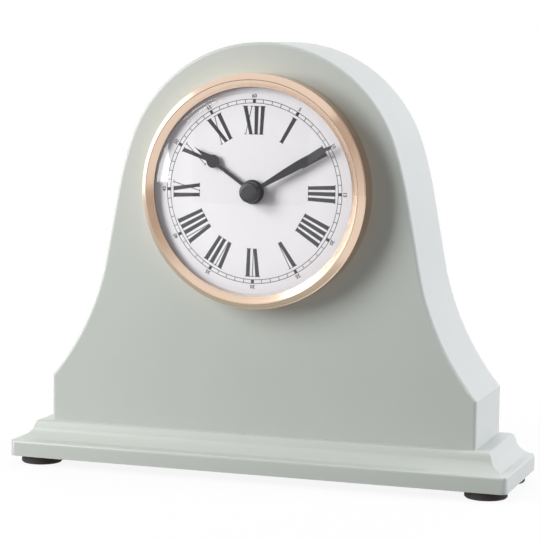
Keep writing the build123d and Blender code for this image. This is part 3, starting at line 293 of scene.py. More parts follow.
class Surface(Wiring):
    """One procedural material, with short calls for what it is made of."""

    def __init__(self, name, colour, roughness, metallic=0.0):
        self.material = bpy.data.materials.new(name)
        self.material.use_nodes = True
        super().__init__(self.material.node_tree)
        self.shader = self.tree.nodes["Principled BSDF"]
        self.output = self.tree.nodes["Material Output"]
        self.colour = linear(colour)
        self.roughness = roughness
        self.constant(Base_Color=self.colour, Roughness=roughness, Metallic=metallic)
        self.place = self.node("ShaderNodeTexCoord").outputs["Object"]
        self.normal = None

    def constant(self, **values):
        """Sets the shader's own sockets; underscores in a name stand for spaces."""
        for name, value in values.items():
            self.shader.inputs[name.replace("_", " ")].default_value = value

    def vector_math(self, operation, first, second, output="Vector"):
        made = self.node("ShaderNodeVectorMath", operation=operation)
        self.feed(made.inputs[0], first)
        self.feed(made.inputs[1], second)
        return made.outputs[output]

    def stretched(self, x, y, z):
        """The place on the piece with each direction scaled, to draw grain out along one of them."""
        return self.vector_math("MULTIPLY", self.place, (x, y, z))

    def noise(self, size, detail=2.0, vector=None):
        """Soft blotches of about a size in metres, from 0 to 1."""
        made = self.node("ShaderNodeTexNoise")
        self.feed(made.inputs["Vector"], vector or self.place)
        self.feed(made.inputs["Scale"], 1 / size)
        self.feed(made.inputs["Detail"], detail)
        return made.outputs["Fac"]

    def mix(self, share, first, second):
        """A colour that goes from one to another with a share."""
        made = self.node("ShaderNodeMix", data_type="RGBA")
        self.feed(made.inputs[0], share)
        self.feed(made.inputs[MIX_FIRST], first)
        self.feed(made.inputs[MIX_SECOND], second)
        return made.outputs[MIX_RESULT]

    def component(self, vector, axis):
        made = self.node("ShaderNodeSeparateXYZ")
        self.feed(made.inputs[0], vector)
        return made.outputs[axis]

    def part(self, axis):
        """One coordinate of the place on the piece."""
        return self.component(self.place, axis)

    def true_normal(self):
        """The way the surface itself faces, without bumps."""
        return self.node("ShaderNodeNewGeometry").outputs["True Normal"]

    def radius(self):
        """Distance from the dial's axis, which runs along the depth of the clock."""
        across = self.math("SUBTRACT", self.part("X"), DIAL_X)
        up = self.math("SUBTRACT", self.part("Z"), DIAL_Z)
        squares = self.math("ADD", self.math("MULTIPLY", across, across), self.math("MULTIPLY", up, up))
        return self.math("SQRT", squares)

    def colour_between(self, share, colour):
        """Blends another colour into the base colour by a share."""
        self.colour = self.mix(share, self.colour, linear(colour))
        self.feed(self.shader.inputs["Base Color"], self.colour)

    def tint(self, value, spread):
        """Lightens and darkens the base colour by a value from 0 to 1 about its middle."""
        made = self.node("ShaderNodeVectorMath", operation="SCALE")
        self.feed(made.inputs[0], self.colour[:3] if isinstance(self.colour, tuple) else self.colour)
        self.feed(made.inputs["Scale"], self.remap(value, NOISE_LOW, NOISE_HIGH, 1 - spread, 1 + spread))
        self.colour = made.outputs["Vector"]
        self.feed(self.shader.inputs["Base Color"], self.colour)

    def polish(self, value, spread):
        """Varies the roughness by a value from 0 to 1 about its middle."""
        low, high = self.roughness - spread, self.roughness + spread
        self.feed(self.shader.inputs["Roughness"], self.remap(value, NOISE_LOW, NOISE_HIGH, low, high))

    def bump(self, height, depth):
        """Raises the surface by a height from 0 to 1 times a depth in metres."""
        made = self.node("ShaderNodeBump")
        self.feed(made.inputs["Height"], height)
        self.feed(made.inputs["Distance"], depth)
        self.feed(made.inputs["Strength"], 1.0)
        if self.normal:
            self.feed(made.inputs["Normal"], self.normal)
        self.normal = made.outputs["Normal"]
        self.feed(self.shader.inputs["Normal"], self.normal)

    def wear_edges(self, reach, share, colour):
        """Paints a highlight along edges and corners by turning them towards a colour, and leaves flat
        stretches as they are.
        """
        rounded = self.node("ShaderNodeBevel", samples=EDGE_SAMPLES)
        self.feed(rounded.inputs["Radius"], reach)
        normal = self.node("ShaderNodeNewGeometry").outputs["Normal"]
        alike = self.vector_math("DOT_PRODUCT", rounded.outputs["Normal"], normal, "Value")
        edges = self.remap(alike, EDGE_NONE, EDGE_FULL)
        self.colour_between(self.math("MULTIPLY", edges, share), colour)

    def emission(self, colour, strength):
        glow = self.node("ShaderNodeEmission")
        self.feed(glow.inputs["Color"], linear(colour))
        self.feed(glow.inputs["Strength"], strength)
        return glow.outputs[0]

    def mix_shaders(self, share, first, second):
        """Makes the surface go from one shader to another with a share."""
        mixer = self.node("ShaderNodeMixShader")
        for slot, value in enumerate((share, first, second)):
            self.feed(mixer.inputs[slot], value)
        self.feed(self.output.inputs["Surface"], mixer.outputs[0])


def bare_board(paint):
    """1 on the unpainted faces inside the case, and 0 on the painted ones."""
    case_low, case_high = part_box("case_body")
    across = paint.vector_math("SUBTRACT", paint.place, CASE_MIDDLE)
    across = paint.vector_math("MULTIPLY", across, (1.0, 0.0, 1.0))
    outward = paint.vector_math("DOT_PRODUCT", across, paint.true_normal(), "Value")
    facing_rear = paint.component(paint.true_normal(), "Y")
    inward = paint.math("LESS_THAN", outward, -INWARD_MARGIN)
    board_rear = paint.math("GREATER_THAN", facing_rear, FACING_LEVEL)
    panel_front = paint.math("LESS_THAN", facing_rear, -FACING_LEVEL)
    behind_board = paint.math("GREATER_THAN", paint.part("Y"), case_low.y + FRONT_BOARD)
    before_panel = paint.math("LESS_THAN", paint.part("Y"), case_high.y - PANEL_MARGIN)
    above_plinth = paint.math("GREATER_THAN", paint.part("Z"), case_low.z + PLINTH_MARGIN)
    bare = paint.math("MAXIMUM", inward, paint.math("MAXIMUM", board_rear, panel_front))
    for limit in (behind_board, before_panel, above_plinth):
        bare = paint.math("MULTIPLY", bare, limit)
    return bare


def sage_paint():
    """Satin sprayed paint with a faint orange peel, a painted highlight along its rounded edges, and bare
    board on the faces inside the case.
    """
    paint_roughness, board_roughness = 0.42, 0.9
    paint = Surface("sage_paint", SAGE, paint_roughness)
    paint.tint(paint.noise(28 * MM, detail=3.0), spread=0.012)
    # Painted highlight: the rounded edges turned lighter, where light catches them
    paint.wear_edges(reach=0.5 * MM, share=0.25, colour=SAGE_EDGE_HIGHLIGHT)
    bare = bare_board(paint)
    paint.colour_between(bare, BARE_BOARD)
    paint.bump(paint.noise(1.1 * MM), depth=0.006 * MM)
    fibres = paint.noise(0.6 * MM, detail=4.0)
    paint.bump(paint.math("MULTIPLY", fibres, bare), depth=0.05 * MM)
    roughness = paint.remap(bare, 0.0, 1.0, paint_roughness, board_roughness)
    paint.feed(paint.shader.inputs["Roughness"], roughness)
    paint.constant(Specular_IOR_Level=0.45)
    return paint.material


def spun_metal(name, colour, roughness):
    """Metal turned on a lathe: faint concentric grooves about the dial's axis."""
    depth_stretch = 0.6
    metal = Surface(name, colour, roughness, metallic=1.0)
    ring_place = metal.node("ShaderNodeCombineXYZ")
    metal.feed(ring_place.inputs["X"], metal.radius())
    metal.feed(ring_place.inputs["Y"], metal.math("MULTIPLY", metal.part("Y"), depth_stretch))
    metal.bump(metal.noise(0.12 * MM, vector=ring_place.outputs[0]), depth=0.0012 * MM)
    metal.polish(metal.noise(9 * MM, detail=3.0), spread=0.03)
    metal.tint(metal.noise(14 * MM), spread=0.015)
    return metal.material


def sheet_metal(name, colour, roughness):
    """Rolled or plated sheet with a fine drawn grain."""
    metal = Surface(name, colour, roughness, metallic=1.0)
    grain = metal.noise(0.09 * MM, detail=3.0, vector=metal.stretched(0.08, 1.0, 1.0))
    metal.bump(grain, depth=0.002 * MM)
    metal.polish(metal.noise(4 * MM, detail=3.0), spread=0.06)
    metal.tint(metal.noise(3 * MM, detail=3.0), spread=0.04)
    return metal.material


def moulded(name, colour, roughness, grain=0.25 * MM, glow=0.0):
    """Moulded plastic or rubber with the tool's fine texture."""
    plastic = Surface(name, colour, roughness)
    plastic.bump(plastic.noise(grain, detail=3.0), depth=0.012 * MM)
    plastic.polish(plastic.noise(3 * MM), spread=0.05)
    plastic.tint(plastic.noise(7 * MM, detail=3.0), spread=0.04)
    if glow:
        plastic.constant(Subsurface_Weight=glow, Subsurface_Scale=1.5 * MM)
    return plastic.material


def foot_rubber():
    """Dull brown-black rubber with a grain, scuffed pale on its lower edge."""
    scuff_top, scuff_bottom, scuff_cover = 0.9 * MM, 0.1 * MM, 0.35
    scuff_from, scuff_full = 0.45, 0.7
    rubber = Surface("foot_rubber", FOOT_BROWN, roughness=0.72)
    rubber.tint(rubber.noise(1.6 * MM, detail=4.0), spread=0.18)
    low = rubber.remap(rubber.part("Z"), scuff_top, scuff_bottom)
    patches = rubber.remap(rubber.noise(0.9 * MM, detail=3.0), scuff_from, scuff_full)
    scuff = rubber.math("MULTIPLY", low, patches)
    rubber.colour_between(rubber.math("MULTIPLY", scuff, scuff_cover), FOOT_SCUFF)
    rubber.bump(rubber.noise(0.35 * MM, detail=3.0), depth=0.02 * MM)
    return rubber.material


def dial_paint():
    """Satin white print ground, a little darker to the rim where the lens's wall shades it."""
    shade_from, shade_full, shade_cover = 26 * MM, 39 * MM, 0.35
    paint = Surface("dial_paint", DIAL_WHITE, roughness=0.5)
    paint.tint(paint.noise(16 * MM), spread=0.008)
    shade = paint.remap(paint.radius(), shade_from, shade_full, 0.0, shade_cover)
    paint.colour_between(shade, DIAL_SHADE)
    paint.bump(paint.noise(0.12 * MM), depth=0.0015 * MM)
    return paint.material


def printed_ink():
    """Screen-printed black, a little uneven in its cover."""
    ink = Surface("dial_ink", INK, roughness=0.45)
    ink.tint(ink.noise(0.5 * MM, detail=3.0), spread=0.12)
    ink.bump(ink.noise(0.15 * MM), depth=0.002 * MM)
    return ink.material


def hand_black():
    """Satin black enamel on pressed metal, with a painted highlight along its edges."""
    enamel = Surface("hand_black", HAND_BLACK, roughness=0.42)
    enamel.tint(enamel.noise(2 * MM, detail=3.0), spread=0.05)
    enamel.bump(enamel.noise(0.3 * MM), depth=0.004 * MM)
    # Painted highlight: the hand's edges turned lighter grey
    enamel.wear_edges(reach=0.12 * MM, share=0.2, colour=HAND_EDGE_HIGHLIGHT)
    return enamel.material


def lens_glass():
    """Clear domed glass: it mirrors more towards its edge, and lamps pass through it to the dial."""
    glass = Surface("lens_glass", LENS_TINT, roughness=0.03, metallic=1.0)
    glass.polish(glass.noise(20 * MM), spread=0.01)
    slant = glass.node("ShaderNodeLayerWeight")
    glass.feed(slant.inputs["Blend"], LENS_BLEND)
    steep = glass.math("POWER", slant.outputs["Facing"], LENS_POWER)
    mirror = glass.remap(steep, 0.0, 1.0, LENS_FACE_MIRROR, LENS_EDGE_MIRROR)
    passing = glass.any_ray("Is Shadow Ray", "Is Diffuse Ray")
    clear = glass.node("ShaderNodeBsdfTransparent")
    glass.feed(clear.inputs["Color"], linear(LENS_CLEAR))
    share = glass.math("MULTIPLY", mirror, glass.math("SUBTRACT", 1.0, passing))
    glass.mix_shaders(share, clear.outputs[0], glass.shader.outputs[0])
    return glass.material


def board_resin():
    """Brown phenolic board with copper tracks under a clear lacquer."""
    track_level, track_cover = 0.56, 0.8
    board = Surface("board_resin", RESIN_BROWN, roughness=0.5)
    tracks = board.noise(2.2 * MM, detail=0.0, vector=board.stretched(1.0, 0.1, 0.35))
    copper = board.math("MULTIPLY", board.math("GREATER_THAN", tracks, track_level), track_cover)
    board.colour_between(copper, TRACK_COPPER)
    board.bump(board.noise(0.2 * MM, detail=3.0), depth=0.01 * MM)
    return board.material


def coil_copper():
    """Fine enamelled wire: close turns side by side along the coil."""
    wire_pitch = 0.16 * MM
    wire = Surface("coil_copper", WIRE_COPPER, roughness=0.28, metallic=1.0)
    turns = wire.math("SINE", wire.math("MULTIPLY", wire.part("X"), 2 * pi / wire_pitch))
    wire.bump(wire.remap(turns, -1.0, 1.0), depth=0.03 * MM)
    wire.tint(wire.noise(1.2 * MM, detail=3.0), spread=0.08)
    return wire.material


def battery_jacket():
    """Plain foil jacket: a dark body with a copper band at the positive end, and a steel nub."""
    copper_from, nub_from = 0.7, 0.975
    low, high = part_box("battery")
    jacket = Surface("battery_jacket", JACKET_DARK, roughness=0.3, metallic=0.6)
    along = jacket.math("DIVIDE", jacket.math("SUBTRACT", jacket.part("X"), low.x), high.x - low.x)
    if NODES["contact_positive"].data.vertices[0].co.x < (low.x + high.x) / 2:
        along = jacket.math("SUBTRACT", 1.0, along)
    jacket.colour_between(jacket.math("GREATER_THAN", along, copper_from), JACKET_COPPER)
    jacket.colour_between(jacket.math("GREATER_THAN", along, nub_from), NUB_STEEL)
    jacket.bump(jacket.noise(0.8 * MM, detail=3.0), depth=0.004 * MM)
    jacket.polish(jacket.noise(6 * MM), spread=0.05)
    return jacket.material


# Slots with a material of their own
OWN_MATERIALS = {
    "sage_paint": sage_paint,
    "foot_rubber": foot_rubber,
    "lens_glass": lens_glass,
    "dial_paint": dial_paint,
    "board_resin": board_resin,
    "coil_copper": coil_copper,
    "battery_jacket": battery_jacket,
    "hand_black": hand_black,
}

# Slots of a common kind: kind, colour, roughness, and what differs from the kind
COMMON_MATERIALS = {
    "screw_steel": (sheet_metal, (176, 176, 172), 0.34, {}),
    "bezel_gold": (spun_metal, ROSE_GOLD, 0.2, {}),
    "gasket": (moulded, (196, 192, 200), 0.4, {}),
    "cup_steel": (spun_metal, (158, 159, 162), 0.36, {}),
    "spring_steel": (sheet_metal, (140, 141, 146), 0.32, {}),
    "movement_plastic": (moulded, (30, 30, 32), 0.55, {}),
    "washer_rubber": (moulded, (24, 24, 24), 0.8, {}),
    "brass": (spun_metal, (214, 178, 104), 0.25, {}),
    "plate_plastic": (moulded, (208, 205, 194), 0.5, {"glow": 0.1}),
    "chip_resin": (moulded, (18, 18, 19), 0.22, {"grain": 0.9 * MM}),
    "core_iron": (sheet_metal, (132, 131, 130), 0.42, {}),
    "contact_nickel": (sheet_metal, (200, 197, 190), 0.2, {}),
    "gear_plastic": (moulded, (226, 223, 212), 0.42, {"glow": 0.15}),
    "magnet": (moulded, (46, 46, 50), 0.6, {"grain": 0.15 * MM}),
    "knob_plastic": (moulded, (28, 28, 29), 0.5, {"grain": 0.2 * MM}),
}


def dress_nodes():
    """Gives every CAD node the material of its slot, and returns the materials by slot."""
    made = {slot: make() for slot, make in OWN_MATERIALS.items()}
    for slot, (make, colour, roughness, extras) in COMMON_MATERIALS.items():
        made[slot] = make(slot, colour, roughness, **extras)
    for row in frame["record"]["subparts"]:
        mesh = NODES[row["node"]].data
        mesh.materials.clear()
        mesh.materials.append(made[row["material_slot"]])
    return made


def new_piece(name, mesh_builder, material, body):
    """A mesh object of the scene's own, on a body and in a slot."""
    mesh = bpy.data.meshes.new(name)
    mesh_builder.normal_update()
    mesh_builder.to_mesh(mesh)
    mesh_builder.free()
    piece = bpy.data.objects.new(name, mesh)
    SCENE.collection.objects.link(piece)
    mesh.materials.append(material)
    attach(piece, body)
    return piece


def join_loops(builder, first, second):
    """A closed band of faces from one loop of points to another."""
    count = len(first)
    for step in range(count):
        after = (step + 1) % count
        builder.faces.new((first[step], first[after], second[after], second[step]))


def add_prism(builder, outline):
    """A flat shape of print, given across and up from the dial's centre, as a thin closed solid."""
    front, rear = [
        [builder.verts.new((DIAL_X + u, depth, DIAL_Z + v)) for u, v in outline]
        for depth in (PRINT_FRONT, PRINT_REAR)
    ]
    builder.faces.new(front)
    builder.faces.new(rear[::-1])
    join_loops(builder, rear, front)


def circle(radius, sides):
    """Points around a circle about 0, as two coordinates each."""
    turns = [2 * pi * step / sides for step in range(sides)]
    return [(radius * cos(turn), radius * sin(turn)) for turn in turns]


def add_ring(builder, inner, outer):
    """A flat ring of print about the dial's centre as a thin closed solid."""
    corners = ((inner, PRINT_FRONT), (outer, PRINT_FRONT), (outer, PRINT_REAR), (inner, PRINT_REAR))
    loops = [
        [builder.verts.new((DIAL_X + u, depth, DIAL_Z + v)) for u, v in circle(radius, TRACK_SIDES)]
        for radius, depth in corners
    ]
    for loop, other in zip(loops, loops[1:] + loops[:1]):
        join_loops(builder, loop, other)


def stroke(foot, head, width):
    """A slanting stroke of a letter with level ends: its foot and head are middles across."""
    (foot_u, foot_v), (head_u, head_v) = foot, head
    half = width / 2
    return [
        (foot_u - half, foot_v), (foot_u + half, foot_v),
        (head_u + half, head_v), (head_u - half, head_v),
    ]


def serif(middle, low, width):
    """A thin level foot or head of a stroke of some width, from its lower side upwards."""
    reach = width / 2 + SERIF_REACH
    high = low + SERIF_HEIGHT
    return [(middle - reach, low), (middle + reach, low), (middle + reach, high), (middle - reach, high)]


def letter_shapes(letter, left):
    """Outlines of one letter that starts at a left side, in metres, and from 0 at its foot."""
    top = NUMERAL_HEIGHT
    head_serif = top - SERIF_HEIGHT
    right = left + LETTER_WIDTHS[letter]
    middle = left + LETTER_WIDTHS[letter] / 2
    if letter == "I":
        return [
            stroke((middle, 0), (middle, top), THICK_STROKE),
            serif(middle, 0, THICK_STROKE),
            serif(middle, head_serif, THICK_STROKE),
        ]
    if letter == "V":
        thick_head = left + FIVE_INSET
        thin_head = right - THIN_FOOT
        apex = middle + FIVE_APEX_SHIFT
        return [
            stroke((apex, 0), (thick_head, top), THICK_STROKE),
            stroke((apex + THICK_STROKE / 2, 0), (thin_head, top), THIN_STROKE),
            serif(thick_head, head_serif, THICK_STROKE),
            serif(thin_head, head_serif, THIN_FOOT),
        ]
    thick_foot, thick_head = right - TEN_INSET, left + TEN_INSET
    thin_foot, thin_head = left + THIN_FOOT, right - THIN_FOOT
    return [
        stroke((thick_foot, 0), (thick_head, top), THICK_STROKE),
        stroke((thin_foot, 0), (thin_head, top), THIN_STROKE),
        serif(thick_foot, 0, THICK_STROKE),
        serif(thick_head, head_serif, THICK_STROKE),
        serif(thin_foot, 0, THIN_FOOT),
        serif(thin_head, head_serif, THIN_FOOT),
    ]


def dial_place(across, radius, turn):
    """A point of a radial numeral on the dial, fanned out a little towards the rim."""
    middle_radius = (NUMERAL_INNER + NUMERAL_OUTER) / 2
    wide = across * (1 + NUMERAL_FAN * (radius - middle_radius) / middle_radius)
    return (wide * cos(turn) + radius * sin(turn), radius * cos(turn) - wide * sin(turn))


def dial_numerals(ink):
    """The Roman numerals, each with its foot towards the centre."""
    builder = bmesh.new()
    for hour, letters in enumerate(HOURS):
        turn = 2 * pi * hour / len(HOURS)
        left = -sum(LETTER_WIDTHS[letter] for letter in letters) / 2
        for letter in letters:
            for shape in letter_shapes(letter, left):
                add_prism(builder, [dial_place(u, NUMERAL_INNER + v, turn) for u, v in shape])
            left += LETTER_WIDTHS[letter]
    new_piece("dial_numerals", builder, ink, "case")


def minute_track(ink):
    """Two thin circles with a tick for each minute and a bold mark for each hour."""
    builder = bmesh.new()
    for radius in (TRACK_INNER, TRACK_OUTER):
        add_ring(builder, radius - TRACK_LINE / 2, radius + TRACK_LINE / 2)
    for minute in range(MINUTES):
        turn = 2 * pi * minute / MINUTES
        bold = minute % MARK_MINUTES == 0
        half = (MARK_WIDTH if bold else TICK_WIDTH) / 2
        overhang = MARK_OVERHANG if bold else 0.0
        foot, head = TRACK_INNER - overhang, TRACK_OUTER + overhang
        corners = ((-half, foot), (half, foot), (half, head), (-half, head))
        outline = [(u * cos(turn) + v * sin(turn), v * cos(turn) - u * sin(turn)) for u, v in corners]
        add_prism(builder, outline)
    new_piece("dial_minute_track", builder, ink, "case")


def minute_figures(ink):
    """The small figures from 5 to 60 outside the track, with their feet towards the centre."""
    builder = bmesh.new()
    outward = Matrix.Translation((0, FIGURE_RADIUS, 0))
    stand_up = Matrix.Rotation(pi / 2, 4, "X")
    middle = Matrix.Translation((DIAL_X, (PRINT_FRONT + PRINT_REAR) / 2, DIAL_Z))
    for minute in range(MARK_MINUTES, MINUTES + 1, MARK_MINUTES):
        curve = bpy.data.curves.new("figure", "FONT")
        curve.body = str(minute)
        curve.size = FIGURE_HEIGHT / FIGURE_SHARE
        curve.align_x = "CENTER"
        curve.extrude = (PRINT_HEIGHT + PRINT_SINK) / 2
        curve.resolution_u = FIGURE_CURVE_STEPS
        curve.offset = FIGURE_WEIGHT
        figure = bpy.data.objects.new("figure", curve)
        SCENE.collection.objects.link(figure)
        bpy.context.view_layer.update()
        shaped = figure.evaluated_get(bpy.context.evaluated_depsgraph_get())
        mesh = bpy.data.meshes.new_from_object(shaped)
        around = Matrix.Rotation(2 * pi * minute / MINUTES, 4, "Y")
        mesh.transform(outward)
        mesh.transform(middle @ around @ stand_up)
        builder.from_mesh(mesh)
        bpy.data.meshes.remove(mesh)
        bpy.data.objects.remove(figure)
        bpy.data.curves.remove(curve)
    new_piece("dial_minute_figures", builder, ink, "case")


def screw_middles(node):
    """Places across and up of a node's screws, found from points that lie close together."""
    groups = []
    for vertex in NODES[node].data.vertices:
        spot = Vector((vertex.co.x, vertex.co.z))
        for group in groups:
            if (spot - group[0]).length < SCREW_SPACING:
                group.append(spot)
                break
        else:
            groups.append([spot])
    middles = []
    for group in groups:
        across = [spot[0] for spot in group]
        up = [spot[1] for spot in group]
        middles.append(((min(across) + max(across)) / 2, (min(up) + max(up)) / 2))
    return middles


def screw_profile():
    """Radius and height of a screw's outline, from the rim of its head to its point."""
    pitch = (THREAD_END - THREAD_START) / THREAD_TURNS
    profile = [
        (SCREW_HEAD_RADIUS - HEAD_EDGE, 0.0),
        (SCREW_HEAD_RADIUS, -HEAD_EDGE),
        (SCREW_RADIUS, -SCREW_HEAD_HEIGHT),
        (THREAD_NECK, THREAD_START),
    ]
    for turn in range(THREAD_TURNS):
        top = THREAD_START + turn * pitch
        profile.append((THREAD_CORE, top + pitch * THREAD_ROOT_SHARE))
        profile.append((SCREW_RADIUS, top + pitch * THREAD_CREST_SHARE))
    return profile + [(THREAD_CORE, THREAD_END), (SCREW_TIP_RADIUS, -SCREW_LENGTH)]


def add_screw(builder, place):
    """A screw with a cross recess. Its head is level with place, and its shank runs along place's -Z."""
    loops = [
        [builder.verts.new(place @ Vector((u, v, height))) for u, v in circle(radius, SCREW_SIDES)]
        for radius, height in screw_profile()
    ]
    for upper, lower in zip(loops, loops[1:]):
        join_loops(builder, lower, upper)
    builder.faces.new(loops[-1][::-1])
    cross = []
    for quarter in range(4):
        angle = quarter * pi / 2
        for u, v in ((CROSS_ARM, -CROSS_BLADE), (CROSS_ARM, CROSS_BLADE), (CROSS_BLADE, CROSS_BLADE)):
            cross.append((u * cos(angle) - v * sin(angle), u * sin(angle) + v * cos(angle)))
    top = [builder.verts.new(place @ Vector((u, v, 0.0))) for u, v in cross]
    floor = [
        builder.verts.new(place @ Vector((u * CROSS_TAPER, v * CROSS_TAPER, -CROSS_DEPTH))) for u, v in cross
    ]
    join_loops(builder, top, floor)
    builder.faces.new(floor)
    rim, count, half_quarter = loops[0], len(cross), SCREW_SIDES // 8
    for quarter in range(4):
        middle = quarter * SCREW_SIDES // 4
        arc = [rim[(middle + step) % SCREW_SIDES] for step in range(-half_quarter, half_quarter + 1)]
        arm = quarter * 3
        inner = [top[(arm + offset) % count] for offset in (2, 1, 0, -1)]
        builder.faces.new(arc + inner)


def screws(name, node, head_level, steel):
    """Cross-head screws with threads in place of a node's plain ones, with their heads to the rear."""
    to_rear = Vector((0, 0, 1)).rotation_difference(Vector((0, 1, 0))).to_matrix().to_4x4()
    builder = bmesh.new()
    for order, (across, up) in enumerate(screw_middles(node)):
        spin = Matrix.Rotation(radians(SCREW_FIRST_DEGREES + SCREW_NEXT_DEGREES * order), 4, "Z")
        add_screw(builder, Matrix.Translation((across, head_level, up)) @ to_rear @ spin)
    piece = new_piece(name, builder, steel, "case")
    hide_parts(node)


def ogee_shift(height):
    """How much further the S-shaped moulding is drawn in at a height, between the steps of a table."""
    for (low, near), (high, far) in zip(OGEE_STEPS, OGEE_STEPS[1:]):
        if height <= high:
            return near + (far - near) * max(0.0, height - low) / (high - low)
    return OGEE_STEPS[-1][1]


def ogee_plinth(material):
    """The plinth with the photograph's S-shaped moulding, drawn in from its plainer cove."""
    builder = bmesh.new()
    builder.from_mesh(NODES["plinth"].data)
    bmesh.ops.remove_doubles(builder, verts=builder.verts, dist=OGEE_WELD)
    low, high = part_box("plinth")
    first, last = OGEE_STEPS[0][0], OGEE_STEPS[-1][0]
    for step in range(1, OGEE_CUTS):
        level = low.z + first + (last - first) * step / OGEE_CUTS
        everything = builder.verts[:] + builder.edges[:] + builder.faces[:]
        bmesh.ops.bisect_plane(builder, geom=everything, plane_co=(0, 0, level), plane_no=(0, 0, 1))
    for vertex in builder.verts:
        height = vertex.co.z - low.z
        gaps = (vertex.co.y - low.y, vertex.co.x - low.x, high.x - vertex.co.x)
        nearest = min(gaps)
        if height <= first or nearest > MOULDING_DEPTH + MOULDING_SLACK:
            continue
        shift = ogee_shift(height)
        front, left, right = [shift if gap < nearest + MOULDING_SLACK else 0.0 for gap in gaps]
        vertex.co.y += front
        vertex.co.x += left - right
    for face in builder.faces:
        face.smooth = True
    piece = new_piece("plinth_ogee", builder, material, "case")
    old_normals = piece.data.attributes.get("custom_normal")
    if old_normals:
        piece.data.attributes.remove(old_normals)
    piece.data.set_sharp_from_angle(angle=OGEE_SHARP_ANGLE)
    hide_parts("plinth")


def knob_arrow(material):
    """A raised curved arrow on the setting knob, which shows the way that sets the hands."""
    low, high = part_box("setting_knob")
    middle_x, middle_z = (low.x + high.x) / 2, (low.z + high.z) / 2
    turns = [ARROW_START + ARROW_SWEEP * step / ARROW_STEPS for step in range(ARROW_STEPS + 1)]
    path = [(ARROW_RADIUS + ARROW_HALF_WIDTH, turn) for turn in turns]
    path.append((ARROW_RADIUS + ARROW_HEAD_HALF_WIDTH, turns[-1]))
    path.append((ARROW_RADIUS, turns[-1] + ARROW_TIP / ARROW_RADIUS))
    path.append((ARROW_RADIUS - ARROW_HEAD_HALF_WIDTH, turns[-1]))
    path += [(ARROW_RADIUS - ARROW_HALF_WIDTH, turn) for turn in turns[::-1]]
    outline = [(middle_x + radius * cos(turn), middle_z + radius * sin(turn)) for radius, turn in path]
    builder = bmesh.new()
    raised = [builder.verts.new((x, high.y + ARROW_HEIGHT, z)) for x, z in outline]
    sunk = [builder.verts.new((x, high.y - ARROW_SINK, z)) for x, z in outline]
    builder.faces.new(raised[::-1])
    builder.faces.new(sunk)
    join_loops(builder, raised, sunk)
    new_piece("setting_knob_arrow", builder, material, "setting_group")


def flat_card(name, size, turned):
    """A flat rectangle of the stage, placed and turned by a matrix about its middle."""
    builder = bmesh.new()
    half_x, half_y = size[0] / 2, size[1] / 2
    corners = ((-half_x, -half_y), (half_x, -half_y), (half_x, half_y), (-half_x, half_y))
    builder.faces.new([builder.verts.new(turned @ Vector((u, v, 0))) for u, v in corners])
    mesh = bpy.data.meshes.new(name)
    builder.to_mesh(mesh)
    builder.free()
    card = bpy.data.objects.new(name, mesh)
    SCENE.collection.objects.link(card)
    return card


def to_aim(place):
    """The turn that faces a lamp or card from its place to the studio's aim."""
    return (STUDIO_AIM - Vector(place)).to_track_quat("-Z", "Y")


def soft_lamp(name, place, size, power, colour, in_reflections):
    """A rectangular softbox at a place, turned to the studio's aim."""
    light = bpy.data.lights.new(name, "AREA")
    light.shape = "RECTANGLE"
    light.size, light.size_y = size
    light.energy = power
    light.color = colour
    lamp = bpy.data.objects.new(name, light)
    lamp.location = place
    lamp.rotation_euler = to_aim(place).to_euler()
    lamp.visible_glossy = in_reflections
    SCENE.collection.objects.link(lamp)


def reflector(name, place, size, colour, strength):
    """A studio card that only reflections see, so that metal and glass get their bands."""
    card = flat_card(name, size, Matrix.Translation(place) @ to_aim(place).to_matrix().to_4x4())
    paint = Surface(name + "_paint", BLACK, roughness=1.0)
    paint.feed(paint.output.inputs["Surface"], paint.emission(colour, strength))
    card.data.materials.append(paint.material)
    card.visible_camera = False
    card.visible_diffuse = False
    card.visible_shadow = False
    card.visible_transmission = False


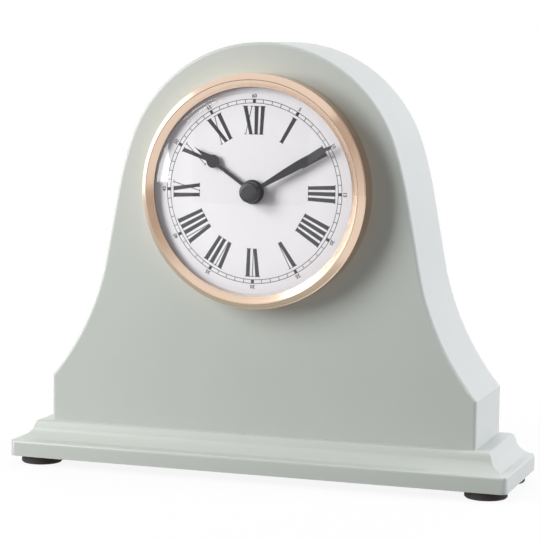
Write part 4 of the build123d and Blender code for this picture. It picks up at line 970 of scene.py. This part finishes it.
def pale_floor():
    """Paper that the camera and reflections see as white, and that keeps the object's shadow."""
    floor = flat_card("floor", FLOOR_SIZE, Matrix.Identity(4))
    paper = Surface("floor_paper", FLOOR_GREY, roughness=0.9)
    paper.tint(paper.noise(FLOOR_MOTTLE), spread=0.004)
    paper.colour_between(paper.any_ray("Is Diffuse Ray"), FLOOR_BOUNCE)
    distance = paper.vector_math("LENGTH", paper.stretched(1.0, 1.0, 0.0), (0.0, 0.0, 0.0), "Value")
    white = paper.remap(distance, FLOOR_NEAR, FLOOR_FAR, FLOOR_NEAR_GLOW, FLOOR_FAR_GLOW)
    share = paper.math("MULTIPLY", paper.any_ray(*SEEN_RAYS), white)
    paper.mix_shaders(share, paper.shader.outputs[0], paper.emission(WHITE, strength=1.0))
    floor.data.materials.append(paper.material)


def studio_world():
    """A world that the camera and reflections see as white, and that lights the object less."""
    world = bpy.data.worlds.new("studio")
    world.use_nodes = True
    wiring = Wiring(world.node_tree)
    backdrop = world.node_tree.nodes["Background"]
    backdrop.inputs["Color"].default_value = linear(WHITE)
    strength = wiring.remap(wiring.any_ray(*SEEN_RAYS), 0.0, 1.0, WORLD_LIGHT, 1.0)
    wiring.feed(backdrop.inputs["Strength"], strength)
    SCENE.world = world


def photo_camera():
    """The camera at the photograph's viewing angle."""
    data = bpy.data.cameras.new("photo_camera")
    data.lens = CAMERA_LENS
    data.shift_x, data.shift_y = CAMERA_SHIFT
    data.dof.use_dof = False
    camera = bpy.data.objects.new("photo_camera", data)
    camera.location = CAMERA_PLACE
    look = (CAMERA_TARGET - CAMERA_PLACE).to_track_quat("-Z", "Y")
    camera.rotation_euler = (look.to_matrix() @ Matrix.Rotation(CAMERA_ROLL, 3, "Z")).to_euler()
    SCENE.collection.objects.link(camera)
    SCENE.camera = camera


surfaces = dress_nodes()
dial_ink = printed_ink()
dial_numerals(dial_ink)
minute_track(dial_ink)
minute_figures(dial_ink)
panel_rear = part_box("back_panel")[1].y
screws("back_screws_crosshead", "back_panel_screws", panel_rear, surfaces["screw_steel"])
ogee_plinth(surfaces["sage_paint"])
knob_arrow(moulded("knob_mark", KNOB_MARK_GREY, roughness=0.5))
pale_floor()
studio_world()
for softbox in SOFTBOXES:
    soft_lamp(*softbox)
for card_row in REFLECTORS:
    reflector(*card_row)
photo_camera()
SCENE.view_settings.view_transform = "Standard"
